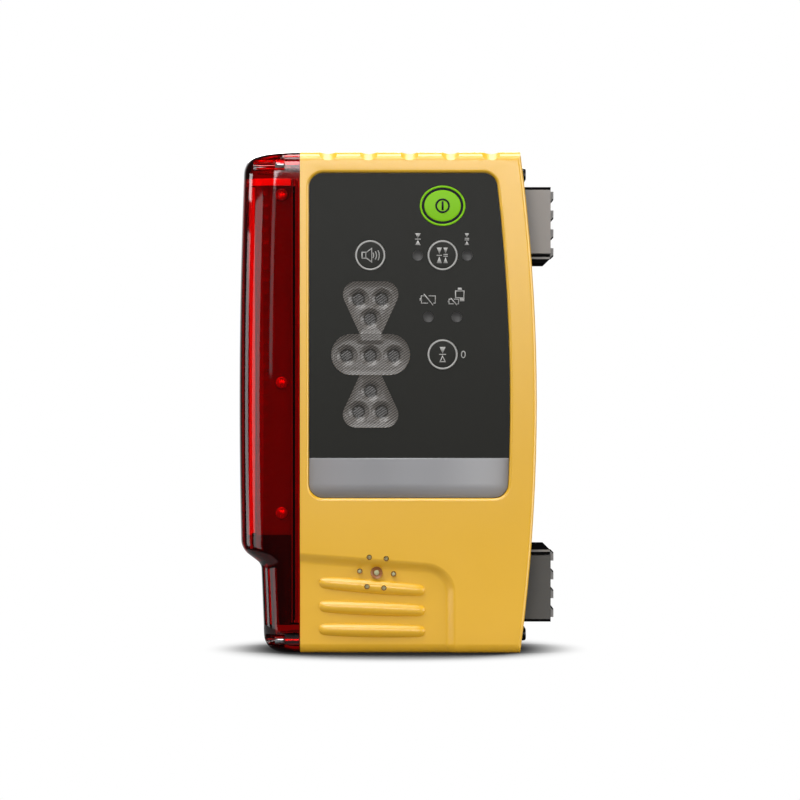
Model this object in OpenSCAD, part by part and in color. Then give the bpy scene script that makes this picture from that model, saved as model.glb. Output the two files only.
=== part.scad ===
// Machine-control laser receiver: a moulded casing with a keypad and a grade display,
// a red sensor window down its left side and two magnet mounts on its right side.
// Front is -Y, the window is at -X, up is +Z. The origin is on the base, at its middle.

/* [Casing] */
// Height of the casing
case_h = 251; // [236:1:275]
// Depth of the casing, from front face to rear face
case_d = 80; // [78:1:92]
// Distance from the centre line to the seam beside the window
seam_x = 48.5; // [47.5:0.5:53]
// Reach of the bulged right side from the centre line, at mid height
side_reach = 70; // [69:0.5:75]
// Radius of the bulge of the right side
side_r = 945; // [800:5:1400]
// Radius of the top and bottom edges
edge_r = 5; // [3:0.5:7]
// Radius of the edges along the bulged side
side_edge_r = 2; // [1:0.25:3]
// Thickness of the front wall
face_wall = 5; // [4.6:0.1:6]
// Thickness of the rear wall
rear_wall = 7; // [6.5:0.1:8]
// Thickness of the top wall
top_wall = 6; // [5:0.5:8]
// Thickness of the bottom wall
base_wall = 5.5; // [4.5:0.5:7]
// Thickness of the wall beside the window
seam_wall = 3; // [3:0.1:4]
// Thickness of the wall behind the side plate
side_wall = 4; // [3.5:0.1:6]

/* [Grip] */
// Number of flutes across the top
flute_count = 5; // [3:1:5]
// Spacing of the flutes
flute_pitch = 20.4; // [14:0.2:20.6]
// Width of a flute
flute_w = 9; // [6:0.5:11]
// Depth of a flute
flute_depth = 1; // [0.6:0.1:1.6]
// Depth of the grip recess below the front face
grip_depth = 2.5; // [1.5:0.1:2.8]
// Distance of the grip recess's right edge from the centre line
grip_edge_x = 26.8; // [22:0.2:32]
// Corner radius of the grip recess
grip_r = 13; // [10:0.5:16]
// Height of the corner's centre above the base
grip_corner_z = 30; // [28:0.5:36]
// Fall of the recess's top edge towards the right, in degrees
grip_slope = 4.4; // [0:0.2:6]
// Half width of the soft step round the recess
grip_soft = 3; // [2:0.25:4]
// Length of the grip ribs
rib_l = 54; // [40:0.5:56]
// Spacing of the grip ribs
rib_pitch = 10.95; // [9.5:0.05:12]

/* [Panel] */
// Gap from the seam to the panel
panel_inset = 4.5; // [3.5:0.25:6]
// Gap from the bulged side to the panel
panel_side = 13.5; // [12:0.25:16]
// Gap from the top of the casing to the panel
panel_drop = 10.7; // [9:0.1:14]
// Height of the panel's lower edge, as a share of the casing's height
panel_z_share = 0.31; // [0.29:0.005:0.33]
// Corner radius of the panel
panel_r = 7; // [4:0.5:10]
// Depth of the recess that holds the panel
recess_depth = 2; // [1.6:0.1:2.4]
// Thickness of the panel
overlay_t = 1; // [0.6:0.1:1.4]
// Radius of the rounded lip round the panel's recess
lip_r = 1.5; // [0.8:0.1:1.6]

/* [Keys and lamps] */
// Distance of the right key column from the centre line
key_x = 22.8; // [21:0.2:24]
// Distance of the sound key left of the centre line
sound_x = 13.4; // [12:0.2:16]
// Radius of a round key
key_r = 7.7; // [6:0.1:8.2]
// Width of the power key
power_w = 22.9; // [18:0.1:24]
// Height of the power key
power_h = 20.3; // [16:0.1:21]
// Drop of the power key's centre below the top of the casing
power_drop = 27.1; // [26:0.1:29]
// Drop of the sound and precision keys below the top of the casing
precision_drop = 51.9; // [50:0.1:54]
// Travel of the keys
key_travel = 0.8; // [0.4:0.1:0.8]
// Diameter of a status lamp window
status_d = 5.2; // [3:0.1:5.6]
// Half spacing of the upper status lamps
status_high_gap = 12.4; // [12.2:0.1:13.5]
// Half spacing of the lower status lamps
status_low_gap = 7.1; // [6:0.1:10]
// Drop of the lower status lamps below the top of the casing
status_low_drop = 82.7; // [78:0.1:85]

/* [Grade display] */
// Distance of the display left of the centre line
display_x = 13.2; // [12:0.2:15]
// Drop of the display's centre below the top of the casing
display_drop = 101.5; // [100:0.1:104]
// Width of the level window
level_w = 39.4; // [34:0.2:42]
// Height of the level window
level_h = 20.5; // [18:0.1:22]
// Height of an arrow window
arrow_h = 26; // [22:0.2:28]
// Width of an arrow window over its sharp corners
arrow_span = 35.1; // [30:0.1:36]
// Width of an arrow window's tip
arrow_tip = 10.9; // [8:0.1:12]
// Corner radius of an arrow window
arrow_r = 6.5; // [4:0.1:7]

/* [Sensor window] */
// Width of the window, from its seam to the crown of its outer side
window_w = 30.6; // [28:0.1:33]
// Width of the narrow lower part of the window
window_low_w = 19.4; // [17:0.2:21]
// Height of the middle of the window's shoulder above the base
shoulder_z = 48.1; // [46:0.1:53]
// Height over which the shoulder slopes
shoulder_h = 7.4; // [5:0.1:9]
// Wall thickness of the window
window_wall = 3; // [2.4:0.1:3.2]
// Corner radius of the window, seen from above
window_r = 18; // [16:0.5:20]
// Corner radius of the lower part, seen from above
window_low_r = 12; // [10:0.5:14]
// Height of the solid block at the window's top end
window_top = 13.2; // [12:0.1:15]
// Height of the solid block at the window's lower end
window_base = 14; // [12:0.5:17]

/* [Sensor] */
// Number of photodiodes in a row
diode_count = 28; // [10:1:30]
// Thickness of the circuit boards
board_t = 1.6; // [1:0.1:1.8]

/* [Side mounts] */
// Depth of the side recess below the bulge's crown
side_recess = 9; // [8.5:0.1:10]
// Width of the side recess, front to back
side_recess_d = 60; // [56:1:62]
// Thickness of the side plate
plate_t = 1.6; // [1.4:0.1:2.4]
// Depth of a magnet mount, from the side plate to its pole faces
magnet_t = 16.4; // [14:0.1:21]
// Height of a magnet mount
magnet_h = 38.5; // [38:0.1:44]
// Width of a magnet mount, front to back
magnet_d = 44; // [36:1:50]
// Mean gap from the ends of the casing to the magnet mounts
magnet_end = 15.9; // [15:0.1:24]
// Drop of the mounts' middle below the casing's mid height
mount_drop = 0.95; // [0:0.05:1.5]
// Height of a pole bar
pole_h = 4.4; // [3.6:0.1:5]
// Spacing of the pole bars
pole_pitch = 9.5; // [9.3:0.1:9.6]

/* [Battery] */
// Diameter of a battery cell
cell_d = 26.2; // [24:0.1:26.4]
// Length of a battery cell
cell_l = 50; // [48:0.5:52]
// Distance of the battery space right of the centre line
tray_x = 5; // [3:0.5:6]
// Height of the middle of the battery space above the base
tray_z = 122; // [120:1:130]
// Width of the battery door
door_w = 72; // [70:1:74]
// Height of the battery door's lower edge above the base
door_z = 30; // [28:0.5:31]
// Height of the hinge above the base
hinge_z = 190; // [189:0.5:196]
// Diameter of the hinge pin
hinge_pin_d = 2.5; // [2:0.1:2.6]
// Diameter of the door's knob
knob_d = 22; // [18:0.5:23]

/* [Hidden] */
$fn = 64;
// Overrun of every cut past the surface it starts from
over = 1;
// Clearances: pieces that sit still, pieces that slide or turn, pieces that swing past
seat_fit = 0.05;
slide_fit = 0.1;
swing_fit = 0.4;

// Casing levels, front to back and across
half_d = case_d / 2;
face_y = -half_d;
wall_y = face_y + face_wall;
rear_y = half_d - rear_wall;
mid_z = case_h / 2;
bulge_x = side_reach - side_r;
plate_seat = side_reach - side_recess;
cavity_l = seam_wall - seam_x;
cavity_r = plate_seat - side_wall;
cavity_top = case_h - top_wall;
cavity_corner = 4;
disc_facets = 720;

// Seal between the casing halves
seal_w = 1.6;
seal_h = 1.5;
seal_edge = 0.7;

// Casing screws
column_r = 4.5;
column_bury = 0.8;
screw_r = 2;
screw_head_r = 3.5;
screw_head_h = 3.5;
screw_seat_y = half_d / 2;
screw_l = 32;
screw_bore_r = screw_head_r + slide_fit;
column_inset = column_r - column_bury;
column_x = [cavity_l + column_inset, cavity_r - column_inset];
column_z = [base_wall + column_inset, cavity_top - column_inset];

// Flutes
flute_inset = 14;
flute_r = (flute_w * flute_w / 4 + flute_depth * flute_depth) / (2 * flute_depth);
flute_scoop = flute_depth;
flute_run = 3 * edge_r;

// Grip recess, ribs and sound holes
grip_x = grip_edge_x - grip_r;
grip_y = face_y + grip_depth;
grip_steps = 8;
grip_lip = 0.05;
foot_lip = 0.02;
foot_steps = 12;
grip_lap = grip_r / 2;
grip_run = seam_x + grip_x + 2 * over;
rib_x = -12.45;
rib_low_z = 11.45;
rib_end_r = 3.05;
rib_mid_r = 3.8;
rib_sink = 1.35;
rib_back = 1;
rib_tilts = [1.0, 2.5, 4.6];
rib_steps = 24;
rib_end_power = 24;
sound_hole_x = -10.2;
sound_hole_z = 40.4;
sound_hole_r = 3;
sound_small_r = 1.35;
sound_ring_r = 8.5;
sound_turn = -4.5;
buzzer_r = 11.5;
buzzer_h = 8;
membrane_t = 0.4;

// Panel
panel_l = panel_inset - seam_x;
panel_top = case_h - panel_drop;
panel_z = case_h * panel_z_share;
panel_bow_r = side_r - panel_side;
panel_steps = 8;
panel_fit = 0.15;
lip_steps = 4;
overlay_back = face_y + recess_depth;
overlay_y = overlay_back - overlay_t;

// Keys: cap, flange behind the wall, mat and switch
power_z = case_h - power_drop;
key_z = case_h - precision_drop;
zero_z = case_h - display_drop;
key_proud = 0.25;
key_dome = 0.7;
key_flange = 1.1;
key_flange_t = 1.2;
ellipse_steps = 72;
flange_y = wall_y + slide_fit;
flange_back = flange_y + key_flange_t;
mat_y = flange_back + key_travel + slide_fit;
mat_t = 1;
mat_rim = 1.5;
mat_margin = 2;
switch_w = 6;
switch_h = 0.8;
board_y = mat_y + mat_t + switch_h + slide_fit;
board_back = board_y + board_t;

// Status lamps: windows and their diodes
status_proud = 0.1;
status_flange = 0.7;
status_places = [
    [key_x - status_high_gap, key_z],
    [key_x + status_high_gap, key_z],
    [key_x - status_low_gap, case_h - status_low_drop],
    [key_x + status_low_gap, case_h - status_low_drop]];
status_led_w = 3;
status_led_h = 1.2;

// Grade display: lenses, ledge and lamps
lens_gap = 0.3;
lens_proud = 0.2;
lens_seat = 1.5;
lens_ledge = 1.2;
tip_r = 1;
grade_led_w = 5;
grade_led_h = 1.5;
led_row = 11.75;
led_near_share = 0.29;
led_far_share = 0.68;

// Main board and its screws
board_inset = 4;
board_side_gap = 11;
board_low_gap = 9;
board_high_gap = 6.3;
board_corner = 3;
boss_r = 3.5;
board_screw_r = 1.25;
board_screw_head_r = 2.4;
board_screw_head_h = 1.8;
board_screw_l = 5;
board_l = panel_l + board_inset;
board_r = cavity_r - board_side_gap;
board_z = panel_z + board_low_gap;
board_top = panel_top - board_high_gap;
board_screw_x = [board_l + boss_r, board_r - boss_r];
board_screw_z = [board_z + boss_r, board_top - boss_r];

// Window: seam, outlines and blocks
window_seal_t = 0.5;
window_seal_edge = 1;
window_seam = -seam_x - window_seal_t;
window_reach = window_w - window_seam;
window_low_reach = window_low_w - window_seam;
window_drop = grip_depth;
window_front = half_d - window_drop;
window_top_r = 10;
window_top_fall = 0.3;
window_bow_r = 2900;
window_sag = 0.8;
bow_steps = 8;
window_base_r = 10;
window_base_lean = 1.8;
shoulder_r = 12;
flange_w = 4;
flange_t = 3.5;
pocket_r = 3.1;
pocket_l = 16;
window_screw_r = 1.5;
window_head_r = 2.5;
window_head_h = 2.4;
window_screw_l = 16;
window_boss_l = 7.2;
window_boss_r = 4;
window_screw_inset = 5.6;
window_screw_end = 6.2;
window_screw_y = window_front - window_screw_inset;
window_head_x = window_seam - window_boss_l;
window_screw_z = [window_screw_end, case_h - window_screw_end];
cable_slot_w = 20;
cable_slot_h = 40;

// Sensor: carrier, three boards, their diodes and screws
sensor_gap = 2;
sensor_margin = 3.5;
sensor_z = shoulder_z + shoulder_h + sensor_margin;
sensor_top = case_h - window_top - sensor_margin;
carrier_t = 1.6;
side_board_x = window_sag - window_reach + window_wall + sensor_gap;
carrier_x = side_board_x + board_t;
carrier_low_x = -window_low_reach + window_wall + sensor_gap;
carrier_foot = window_base + sensor_gap;
sensor_front = window_front - window_wall - 3 * sensor_gap;
carrier_y = sensor_front - board_t;
front_board_l = carrier_x + carrier_t;
front_board_r = window_seam - flange_w;
diode_w = 3;
diode_h = 2.4;
diode_t = 1;
diode_pitch = (sensor_top - sensor_z - 2 * sensor_margin) / (diode_count - 1);
sensor_screw_r = 1.5;
sensor_head_r = 3;
sensor_head_h = 1.8;
sensor_screw_l = 3;
sensor_screw_x = front_board_r - sensor_head_r - sensor_gap;
diode_x = (front_board_l + sensor_screw_x - sensor_head_r) / 2;
sensor_screw_low = 11;
sensor_screw_lift = 10;
sensor_screw_top = 4.4;
sensor_screw_z = [sensor_z + sensor_screw_low, mid_z + sensor_screw_lift, sensor_top - sensor_screw_top];

// Side plate and magnet mounts
recess_end = 4;
plate_corner = 4;
plate_gap = 0.3;
plate_face = plate_seat + plate_t;
pole_reach = plate_face + magnet_t;
mount_mid = mid_z - mount_drop;
plate_screw_end = 8.85;
plate_screw_y = 8;
plate_screw_z = [plate_screw_end - mount_drop, case_h - plate_screw_end - mount_drop];
plate_head_r = 3.3;
plate_head_h = 2.8;
plate_screw_depth = 2.8;
magnet_out = mid_z - magnet_end;
magnet_in = magnet_out - magnet_h;
carrier_base = 1;
pole_proud = 1.5;
cheek_x = pole_reach - pole_proud;
cheek_t = 2;
cap_t = 1.3;
foot_h = 3.2;
foot_chamfer_x = 2.6;
cheek_foot_gap = 1.8;
yoke_x = plate_face + carrier_base;
yoke_back = 2;
pole_first = 2.2;
pole_count = 4;
pole_chamfer = 1.1;
magnet_sink = 2;
mount_screw_y = 12;
mount_screw_r = 1.5;
mount_head_r = 3;
mount_screw_l = 4.4;

// Battery space, door and knob
tray_gap = 1.2;
tray_wall = 2;
tray_flange = 5;
contact_t = 1.5;
spring_h = 10;
spring_t = 0.5;
spring_w = 8;
contact_w = 16;
nub_r = 2.8;
nub_h = 1.5;
cell_gap = 0.2;
tray_w = 2 * cell_d + 3 * tray_gap;
tray_h = 2 * (cell_l + cell_gap) + contact_t + spring_h;
tray_l = tray_x - tray_w / 2;
tray_r = tray_x + tray_w / 2;
tray_low = tray_z - tray_h / 2;
tray_high = tray_z + tray_h / 2;
cell_x = [tray_x - (cell_d + tray_gap) / 2, tray_x + (cell_d + tray_gap) / 2];
cell_y = rear_y - cell_d / 2;
tray_floor_y = cell_y - cell_d / 2 - cell_gap;
tray_screw_r = 1.25;
tray_head_r = 2.2;
tray_head_h = 1.6;
tray_screw_l = 4.5;
tray_screw_edge = tray_wall + tray_flange / 2;
tray_screw_x = [tray_l - tray_screw_edge, tray_r + tray_screw_edge];
tray_screw_z = [tray_low + tray_flange, tray_high - tray_flange];
door_t = 2.7;
door_depth = 3;
door_corner = 6;
door_y = half_d - door_t;
ledge_y = half_d - door_depth;
barrel_r = 2.5;
hinge_y = half_d - barrel_r;
hinge_notch = 4.8;
notch_r = 0.5;
hinge_hold = 6;
door_seal_w = 2;
door_seal_inset = 2.2;
door_seal_sink = 1;
knob_inset = 18;
knob_z = door_z + knob_inset;
knob_t = 4.4;
knob_gap = 0.3;
knob_pocket = 5;
knob_wall = 2.4;
knob_floor = 1.6;
knob_shank_r = 3;
knob_shank_l = 9;
knob_bar_w = 5;
knob_bar_depth = 3;
insert_r = 5.5;
insert_l = 7;
insert_gap = 0.5;
knob_back = half_d - knob_pocket;
door_boss_r = knob_d / 2 + knob_gap + knob_wall;
door_boss_y = knob_back - knob_floor;
cup_wall = 1.6;
cup_y = door_boss_y - swing_fit;
cup_floor = cup_y - insert_l - cup_wall;

// Unit vector, outward normal of an edge of a counter-clockwise loop, and cross product
function unit(v) = v / norm(v);
function outward(p, q) = unit([q[1] - p[1], p[0] - q[0]]);
function cross2(u, v) = u[0] * v[1] - u[1] * v[0];

// One rounded corner of a loop: an arc that touches both edges, bulging out or in
function corner(p, c, q, r, grow, steps) =
    let (u = unit(p - c), v = unit(q - c), out = cross2(c - p, q - c) > 0)
    let (arc_r = r == 0 ? 0 : max(0, out ? r + grow : r - grow))
    arc_r == 0 ? [c] :
    let (half = acos(u * v) / 2, turn = out ? 180 - 2 * half : 2 * half - 180)
    let (hub = c + unit(u + v) * arc_r / sin(half), start = c + u * arc_r / tan(half) - hub)
    let (from = atan2(start[1], start[0]))
    [for (k = [0:steps]) hub + arc_r * [cos(from + turn * k / steps), sin(from + turn * k / steps)]];

// A counter-clockwise loop with its edges moved out by grow and its corners rounded
function soft_loop(points, radii, grow = 0, steps = 8) =
    let (n = len(points))
    let (moved = [for (i = [0:n - 1])
        let (a = outward(points[(i + n - 1) % n], points[i]), b = outward(points[i], points[(i + 1) % n]))
        points[i] + grow * (a + b) / (1 + a * b)])
    [for (i = [0:n - 1])
        each corner(moved[(i + n - 1) % n], moved[i], moved[(i + 1) % n], radii[i], grow, steps)];

function box_points(x0, z0, x1, z1) = [[x0, z0], [x1, z0], [x1, z1], [x0, z1]];
function box_loop(x0, z0, x1, z1, r, grow = 0) = soft_loop(box_points(x0, z0, x1, z1), [r, r, r, r], grow);
function ellipse_loop(w, h) =
    [for (i = [0:ellipse_steps - 1])
        let (turn = 360 * i / ellipse_steps) [w / 2 * cos(turn), h / 2 * sin(turn)]];
function swap(points) = [for (p = points) [p[1], p[0]]];
function bow_x(z, r) = bulge_x + sqrt(r * r - (z - mid_z) * (z - mid_z));

// Extrusions of a flat outline along each axis, and plain blocks and rods
module along_x(x0, x1) {
    translate([x0, 0, 0])
        rotate([90, 0, 90])
            linear_extrude(height = x1 - x0) children();
}

module along_y(y0, y1) {
    translate([0, y1, 0])
        rotate([90, 0, 0])
            linear_extrude(height = y1 - y0) children();
}

module along_z(z0, z1) {
    translate([0, 0, z0])
        linear_extrude(height = z1 - z0) children();
}

module block(x0, x1, y0, y1, z0, z1) {
    translate([x0, y0, z0])
        cube([x1 - x0, y1 - y0, z1 - z0]);
}

module rod_x(y, z, r, x0, x1) {
    translate([x0, y, z])
        rotate([0, 90, 0])
            cylinder(h = x1 - x0, r = r);
}

module rod_y(x, z, r, y0, y1) {
    translate([x, y0, z])
        rotate([-90, 0, 0])
            cylinder(h = y1 - y0, r = r);
}

// The casing's outer form: an extruded side profile, cut by a wide disc with a rounded rim
function half_points(side) = side < 0
    ? [[0, 0], [0, case_h], [-half_d, case_h], [-half_d, 0]]
    : [[0, 0], [half_d, 0], [half_d, case_h], [0, case_h]];
function half_radii(side) = side < 0 ? [0, 0, edge_r, edge_r] : [0, edge_r, edge_r, 0];

module bulge() {
    rim = soft_loop(box_points(0, -half_d, side_r, half_d), [0, side_edge_r, side_edge_r, 0]);
    translate([bulge_x, 0, mid_z])
        rotate([90, 0, 0])
            rotate_extrude($fn = disc_facets) polygon(rim);
}

module case_half(side) {
    intersection() {
        along_x(-seam_x, side_reach + over) polygon(soft_loop(half_points(side), half_radii(side)));
        bulge();
    }
}

// Flutes: shallow grooves over the top that scoop down across its long edge
module flutes(side) {
    lift = flute_r - flute_scoop;
    bend = edge_r * (1 - cos(45));
    for (i = [0:flute_count - 1]) {
        x = flute_inset - seam_x + i * flute_pitch;
        translate([x, 0, case_h + flute_r - flute_depth])
            rotate([90, 0, 0])
                cylinder(h = case_d + 2 * over, r = flute_r, center = true);
        translate([x, side * (half_d - bend + lift * cos(45)), case_h - bend + lift * sin(45)])
            rotate([90 - side * 45, 0, 0])
                cylinder(h = 2 * flute_run, r = flute_r, center = true);
    }
}

module cavity(y0, y1) {
    along_y(y0, y1) polygon(box_loop(cavity_l, base_wall, cavity_r, cavity_top, cavity_corner));
}

// Bosses that the window's screws bite into, and their bores
module window_bosses(side) {
    for (z = window_screw_z)
        rod_x(side * window_screw_y, z, window_boss_r,
            -seam_x + seam_wall / 2, window_head_x + window_screw_l + over);
}

module window_bores(side) {
    for (z = window_screw_z)
        rod_x(side * window_screw_y, z, window_screw_r + seat_fit,
            window_seam - over, window_head_x + window_screw_l + seat_fit);
}

// Recess in the bulged side for the plate, and blind bores for its screws
module side_cuts() {
    loop = box_loop(-side_recess_d / 2, recess_end, side_recess_d / 2, case_h - recess_end, plate_corner);
    along_x(plate_seat, side_reach + over) polygon(loop);
    for (y = [-plate_screw_y, plate_screw_y], z = plate_screw_z)
        rod_x(y, z, screw_r + seat_fit, plate_seat - plate_screw_depth - seat_fit, plate_seat + over);
}

module cable_slot() {
    block(-seam_x - over, cavity_l + over, -cable_slot_w / 2, cable_slot_w / 2,
        mid_z - cable_slot_h / 2, mid_z + cable_slot_h / 2);
}

// Grip recess: a soft step along its sloped top edge, round its corner and down its right edge
function grip_section(inner) = concat(
    [[inner, -grip_lip]],
    [for (i = [0:grip_steps]) [grip_r + grip_soft * (1 - 2 * i / grip_steps), grip_step(i)]],
    [[inner, grip_depth]]);
function grip_step(i) = (grip_depth + grip_lip) * (1 - cos(180 * i / grip_steps)) / 2 - grip_lip;

module grip_cut() {
    translate([grip_x, face_y, grip_corner_z]) {
        rotate([-90, 0, 0]) rotate_extrude() polygon(grip_section(0));
        rotate([0, grip_slope, 0]) along_x(-grip_run, 0) polygon(swap(grip_section(-grip_lap)));
        along_z(-grip_corner_z - over, 0) polygon(grip_section(-grip_lap));
    }
    floor_points = [[-seam_x - over, -over], [grip_x, -over], [grip_x, grip_corner_z],
        [-seam_x - over, grip_corner_z + grip_run * tan(grip_slope)]];
    along_y(face_y - over, grip_y) polygon(floor_points);
}

// Foot of the recess: the casing's rounded lower edge carried on, moved back by the recess's depth
function foot_ring(x, depth) = concat(
    [[x, face_y - over, -over], [x, face_y - over, edge_r]],
    [for (k = [0:foot_steps]) let (a = 90 * k / foot_steps)
        [x, face_y + depth + edge_r * (1 - cos(a)), edge_r * (1 - sin(a))]],
    [[x, face_y + depth + edge_r, -over]]);

module grip_foot() {
    deep = grip_depth - foot_lip;
    n = len(foot_ring(0, deep));
    rings = concat([foot_ring(-seam_x - over, deep)],
        [for (i = [grip_steps:-1:0])
            foot_ring(grip_edge_x + grip_soft * (1 - 2 * i / grip_steps), grip_step(i) - foot_lip)]);
    last = len(rings) - 1;
    polyhedron(
        points = [for (ring = rings) each ring],
        faces = concat([[for (i = [0:n - 1]) n - 1 - i]],
            [for (k = [0:last - 1]) each ring_sides(n, k)],
            [[for (i = [0:n - 1]) last * n + i]]));
}

// Grip ribs: slim spindles with blunt ends, sunk below the recess's floor
function rib_radius(q) =
    (rib_end_r + (rib_mid_r - rib_end_r) * (1 - q * q)) * sqrt(1 - pow(abs(q), rib_end_power));

module grip_ribs() {
    section = concat([[0, -rib_l / 2]],
        [for (i = [1:rib_steps - 1]) let (q = sin(180 * i / rib_steps - 90)) [rib_radius(q), q * rib_l / 2]],
        [[0, rib_l / 2]]);
    intersection() {
        for (i = [0:len(rib_tilts) - 1])
            translate([rib_x, grip_y + rib_sink, rib_low_z + i * rib_pitch])
                rotate([0, 90 + rib_tilts[i], 0])
                    rotate_extrude() polygon(section);
        block(rib_x - rib_l, rib_x + rib_l, face_y, grip_y + rib_back, 0, grip_corner_z + grip_r);
    }
}

module sound_holes(y0, y1) {
    rod_y(sound_hole_x, sound_hole_z, sound_hole_r, y0, y1);
    for (k = [0:5])
        rod_y(sound_hole_x + sound_ring_r * cos(60 * k + sound_turn),
            sound_hole_z + sound_ring_r * sin(60 * k + sound_turn), sound_small_r, y0, y1);
}

// Outlines of the panel and of the grade display's windows
function panel_points() = concat(
    [[panel_l, panel_top], [panel_l, panel_z]],
    [for (i = [0:panel_steps])
        let (z = panel_z + (panel_top - panel_z) * i / panel_steps) [bow_x(z, panel_bow_r), z]]);
function panel_radii() = concat([panel_r, panel_r, panel_r], [for (i = [1:panel_steps - 1]) 0], [panel_r]);
function panel_loop(grow) = soft_loop(panel_points(), panel_radii(), grow);

// Rounded lip of the panel's recess: rings of its outline from above the face down to the wall
function lip_edge(i) = lip_r * [1 - sin(90 * i / lip_steps), 1 - cos(90 * i / lip_steps)];
function lip_rise() = 2 * lip_edge(0) - lip_edge(1);
function lip_ring(e) = [for (p = panel_loop(panel_fit + e[0])) [p[0], face_y + e[1], p[1]]];
function ring_sides(n, k) = [for (i = [0:n - 1])
    let (j = (i + 1) % n) [k * n + i, k * n + j, (k + 1) * n + j, (k + 1) * n + i]];

module panel_lip() {
    n = len(panel_loop(panel_fit));
    rings = concat([lip_ring(lip_rise())], [for (i = [1:lip_steps]) lip_ring(lip_edge(i))]);
    polyhedron(
        points = [for (ring = rings) each ring],
        faces = concat([[for (i = [0:n - 1]) n - 1 - i]],
            [for (k = [0:lip_steps - 1]) each ring_sides(n, k)],
            [[for (i = [0:n - 1]) lip_steps * n + i]]));
}

function level_loop(grow) =
    box_loop(-display_x - level_w / 2, zero_z - level_h / 2, -display_x + level_w / 2, zero_z + level_h / 2,
        level_h / 2 - seat_fit, grow);
function arrow_points(up) =
    let (near = level_h / 2 + lens_gap, far = level_h / 2 + lens_gap + arrow_h)
    let (tip = arrow_tip / 2, wide = arrow_span / 2)
    let (shape = [[-tip, near], [tip, near], [wide, far], [-wide, far]])
    [for (p = shape) [up * p[0] - display_x, zero_z + up * p[1]]];
function arrow_loop(up, grow) = soft_loop(arrow_points(up), [tip_r, tip_r, arrow_r, arrow_r], grow);

module lens_shapes(grow) {
    polygon(arrow_loop(1, grow));
    polygon(level_loop(grow));
    polygon(arrow_loop(-1, grow));
}

module key_holes(y0, y1, fit) {
    translate([key_x, 0, power_z])
        along_y(y0, y1) polygon(ellipse_loop(power_w + 2 * fit, power_h + 2 * fit));
    rod_y(-sound_x, key_z, key_r + fit, y0, y1);
    rod_y(key_x, key_z, key_r + fit, y0, y1);
    rod_y(key_x, zero_z, key_r + fit, y0, y1);
}

module status_holes(y0, y1) {
    for (p = status_places)
        rod_y(p[0], p[1], status_d / 2 + seat_fit, y0, y1);
}

module front_shell() {
    color("goldenrod") difference() {
        union() {
            difference() {
                case_half(-1);
                cavity(wall_y, over);
                grip_cut();
                grip_foot();
                flutes(-1);
            }
            grip_ribs();
            intersection() {
                cavity(wall_y - over, 0);
                union() {
                    for (x = column_x, z = column_z) rod_y(x, z, column_r, wall_y - over, 0);
                    window_bosses(-1);
                }
            }
            for (x = board_screw_x, z = board_screw_z) rod_y(x, z, boss_r, wall_y - over, board_y);
        }
        along_y(face_y - over, overlay_back) polygon(panel_loop(panel_fit));
        panel_lip();
        along_y(overlay_back - over, overlay_back + lens_seat) lens_shapes(seat_fit);
        along_y(overlay_back, wall_y + over) lens_shapes(-lens_ledge);
        key_holes(overlay_back - over, wall_y + over, slide_fit);
        status_holes(overlay_back - over, wall_y + over);
        sound_holes(face_y - over, wall_y + over);
        along_y(-seal_h, over) difference() {
            polygon(box_loop(cavity_l, base_wall, cavity_r, cavity_top, cavity_corner, seal_edge + seal_w));
            polygon(box_loop(cavity_l, base_wall, cavity_r, cavity_top, cavity_corner, seal_edge));
        }
        for (x = column_x, z = column_z)
            rod_y(x, z, screw_r + seat_fit, screw_seat_y - screw_l - seat_fit, over);
        for (x = board_screw_x, z = board_screw_z)
            rod_y(x, z, board_screw_r + seat_fit, board_back - board_screw_l - seat_fit, board_y + over);
        window_bores(-1);
        side_cuts();
        cable_slot();
    }
}

module rear_shell() {
    door_l = tray_x - door_w / 2;
    door_r = tray_x + door_w / 2;
    recess = soft_loop(box_points(door_l, door_z, door_r, hinge_z + hinge_notch),
        [door_corner, door_corner, notch_r, notch_r], swing_fit);
    color("goldenrod") difference() {
        union() {
            difference() {
                case_half(1);
                cavity(-over, rear_y);
                flutes(1);
            }
            intersection() {
                cavity(0, rear_y + over);
                union() {
                    for (x = column_x, z = column_z) rod_y(x, z, column_r, 0, rear_y + over);
                    window_bosses(1);
                }
            }
            rod_y(tray_x, knob_z, door_boss_r + swing_fit + cup_wall, cup_floor, rear_y + over);
        }
        along_y(ledge_y, half_d + over) polygon(recess);
        along_y(rear_y - over, half_d) polygon(box_loop(tray_l, tray_low, tray_r, tray_high, tray_gap));
        rod_x(hinge_y, hinge_z, barrel_r + swing_fit, door_l - swing_fit, door_r + swing_fit);
        rod_x(hinge_y, hinge_z, hinge_pin_d / 2 + seat_fit,
            door_l - hinge_hold - seat_fit, door_r + hinge_hold + seat_fit);
        rod_y(tray_x, knob_z, door_boss_r + swing_fit, cup_y, half_d);
        rod_y(tray_x, knob_z, insert_r + seat_fit, cup_y - insert_l, cup_y + over);
        door_seal_loop(ledge_y - door_seal_sink, ledge_y + over, seat_fit);
        for (x = column_x, z = column_z) {
            rod_y(x, z, screw_r + slide_fit, -over, half_d);
            rod_y(x, z, screw_bore_r, screw_seat_y, half_d + over);
        }
        for (x = tray_screw_x, z = tray_screw_z)
            rod_y(x, z, tray_screw_r + seat_fit, rear_y - over,
                rear_y + tray_screw_l - tray_wall + seat_fit);
        window_bores(1);
        side_cuts();
        cable_slot();
    }
}

module shell_seal() {
    color("black") along_y(-seal_h + seat_fit, 0) difference() {
        polygon(box_loop(cavity_l, base_wall, cavity_r, cavity_top, cavity_corner,
            seal_edge + seal_w - seat_fit));
        polygon(box_loop(cavity_l, base_wall, cavity_r, cavity_top, cavity_corner, seal_edge + seat_fit));
    }
}

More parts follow.
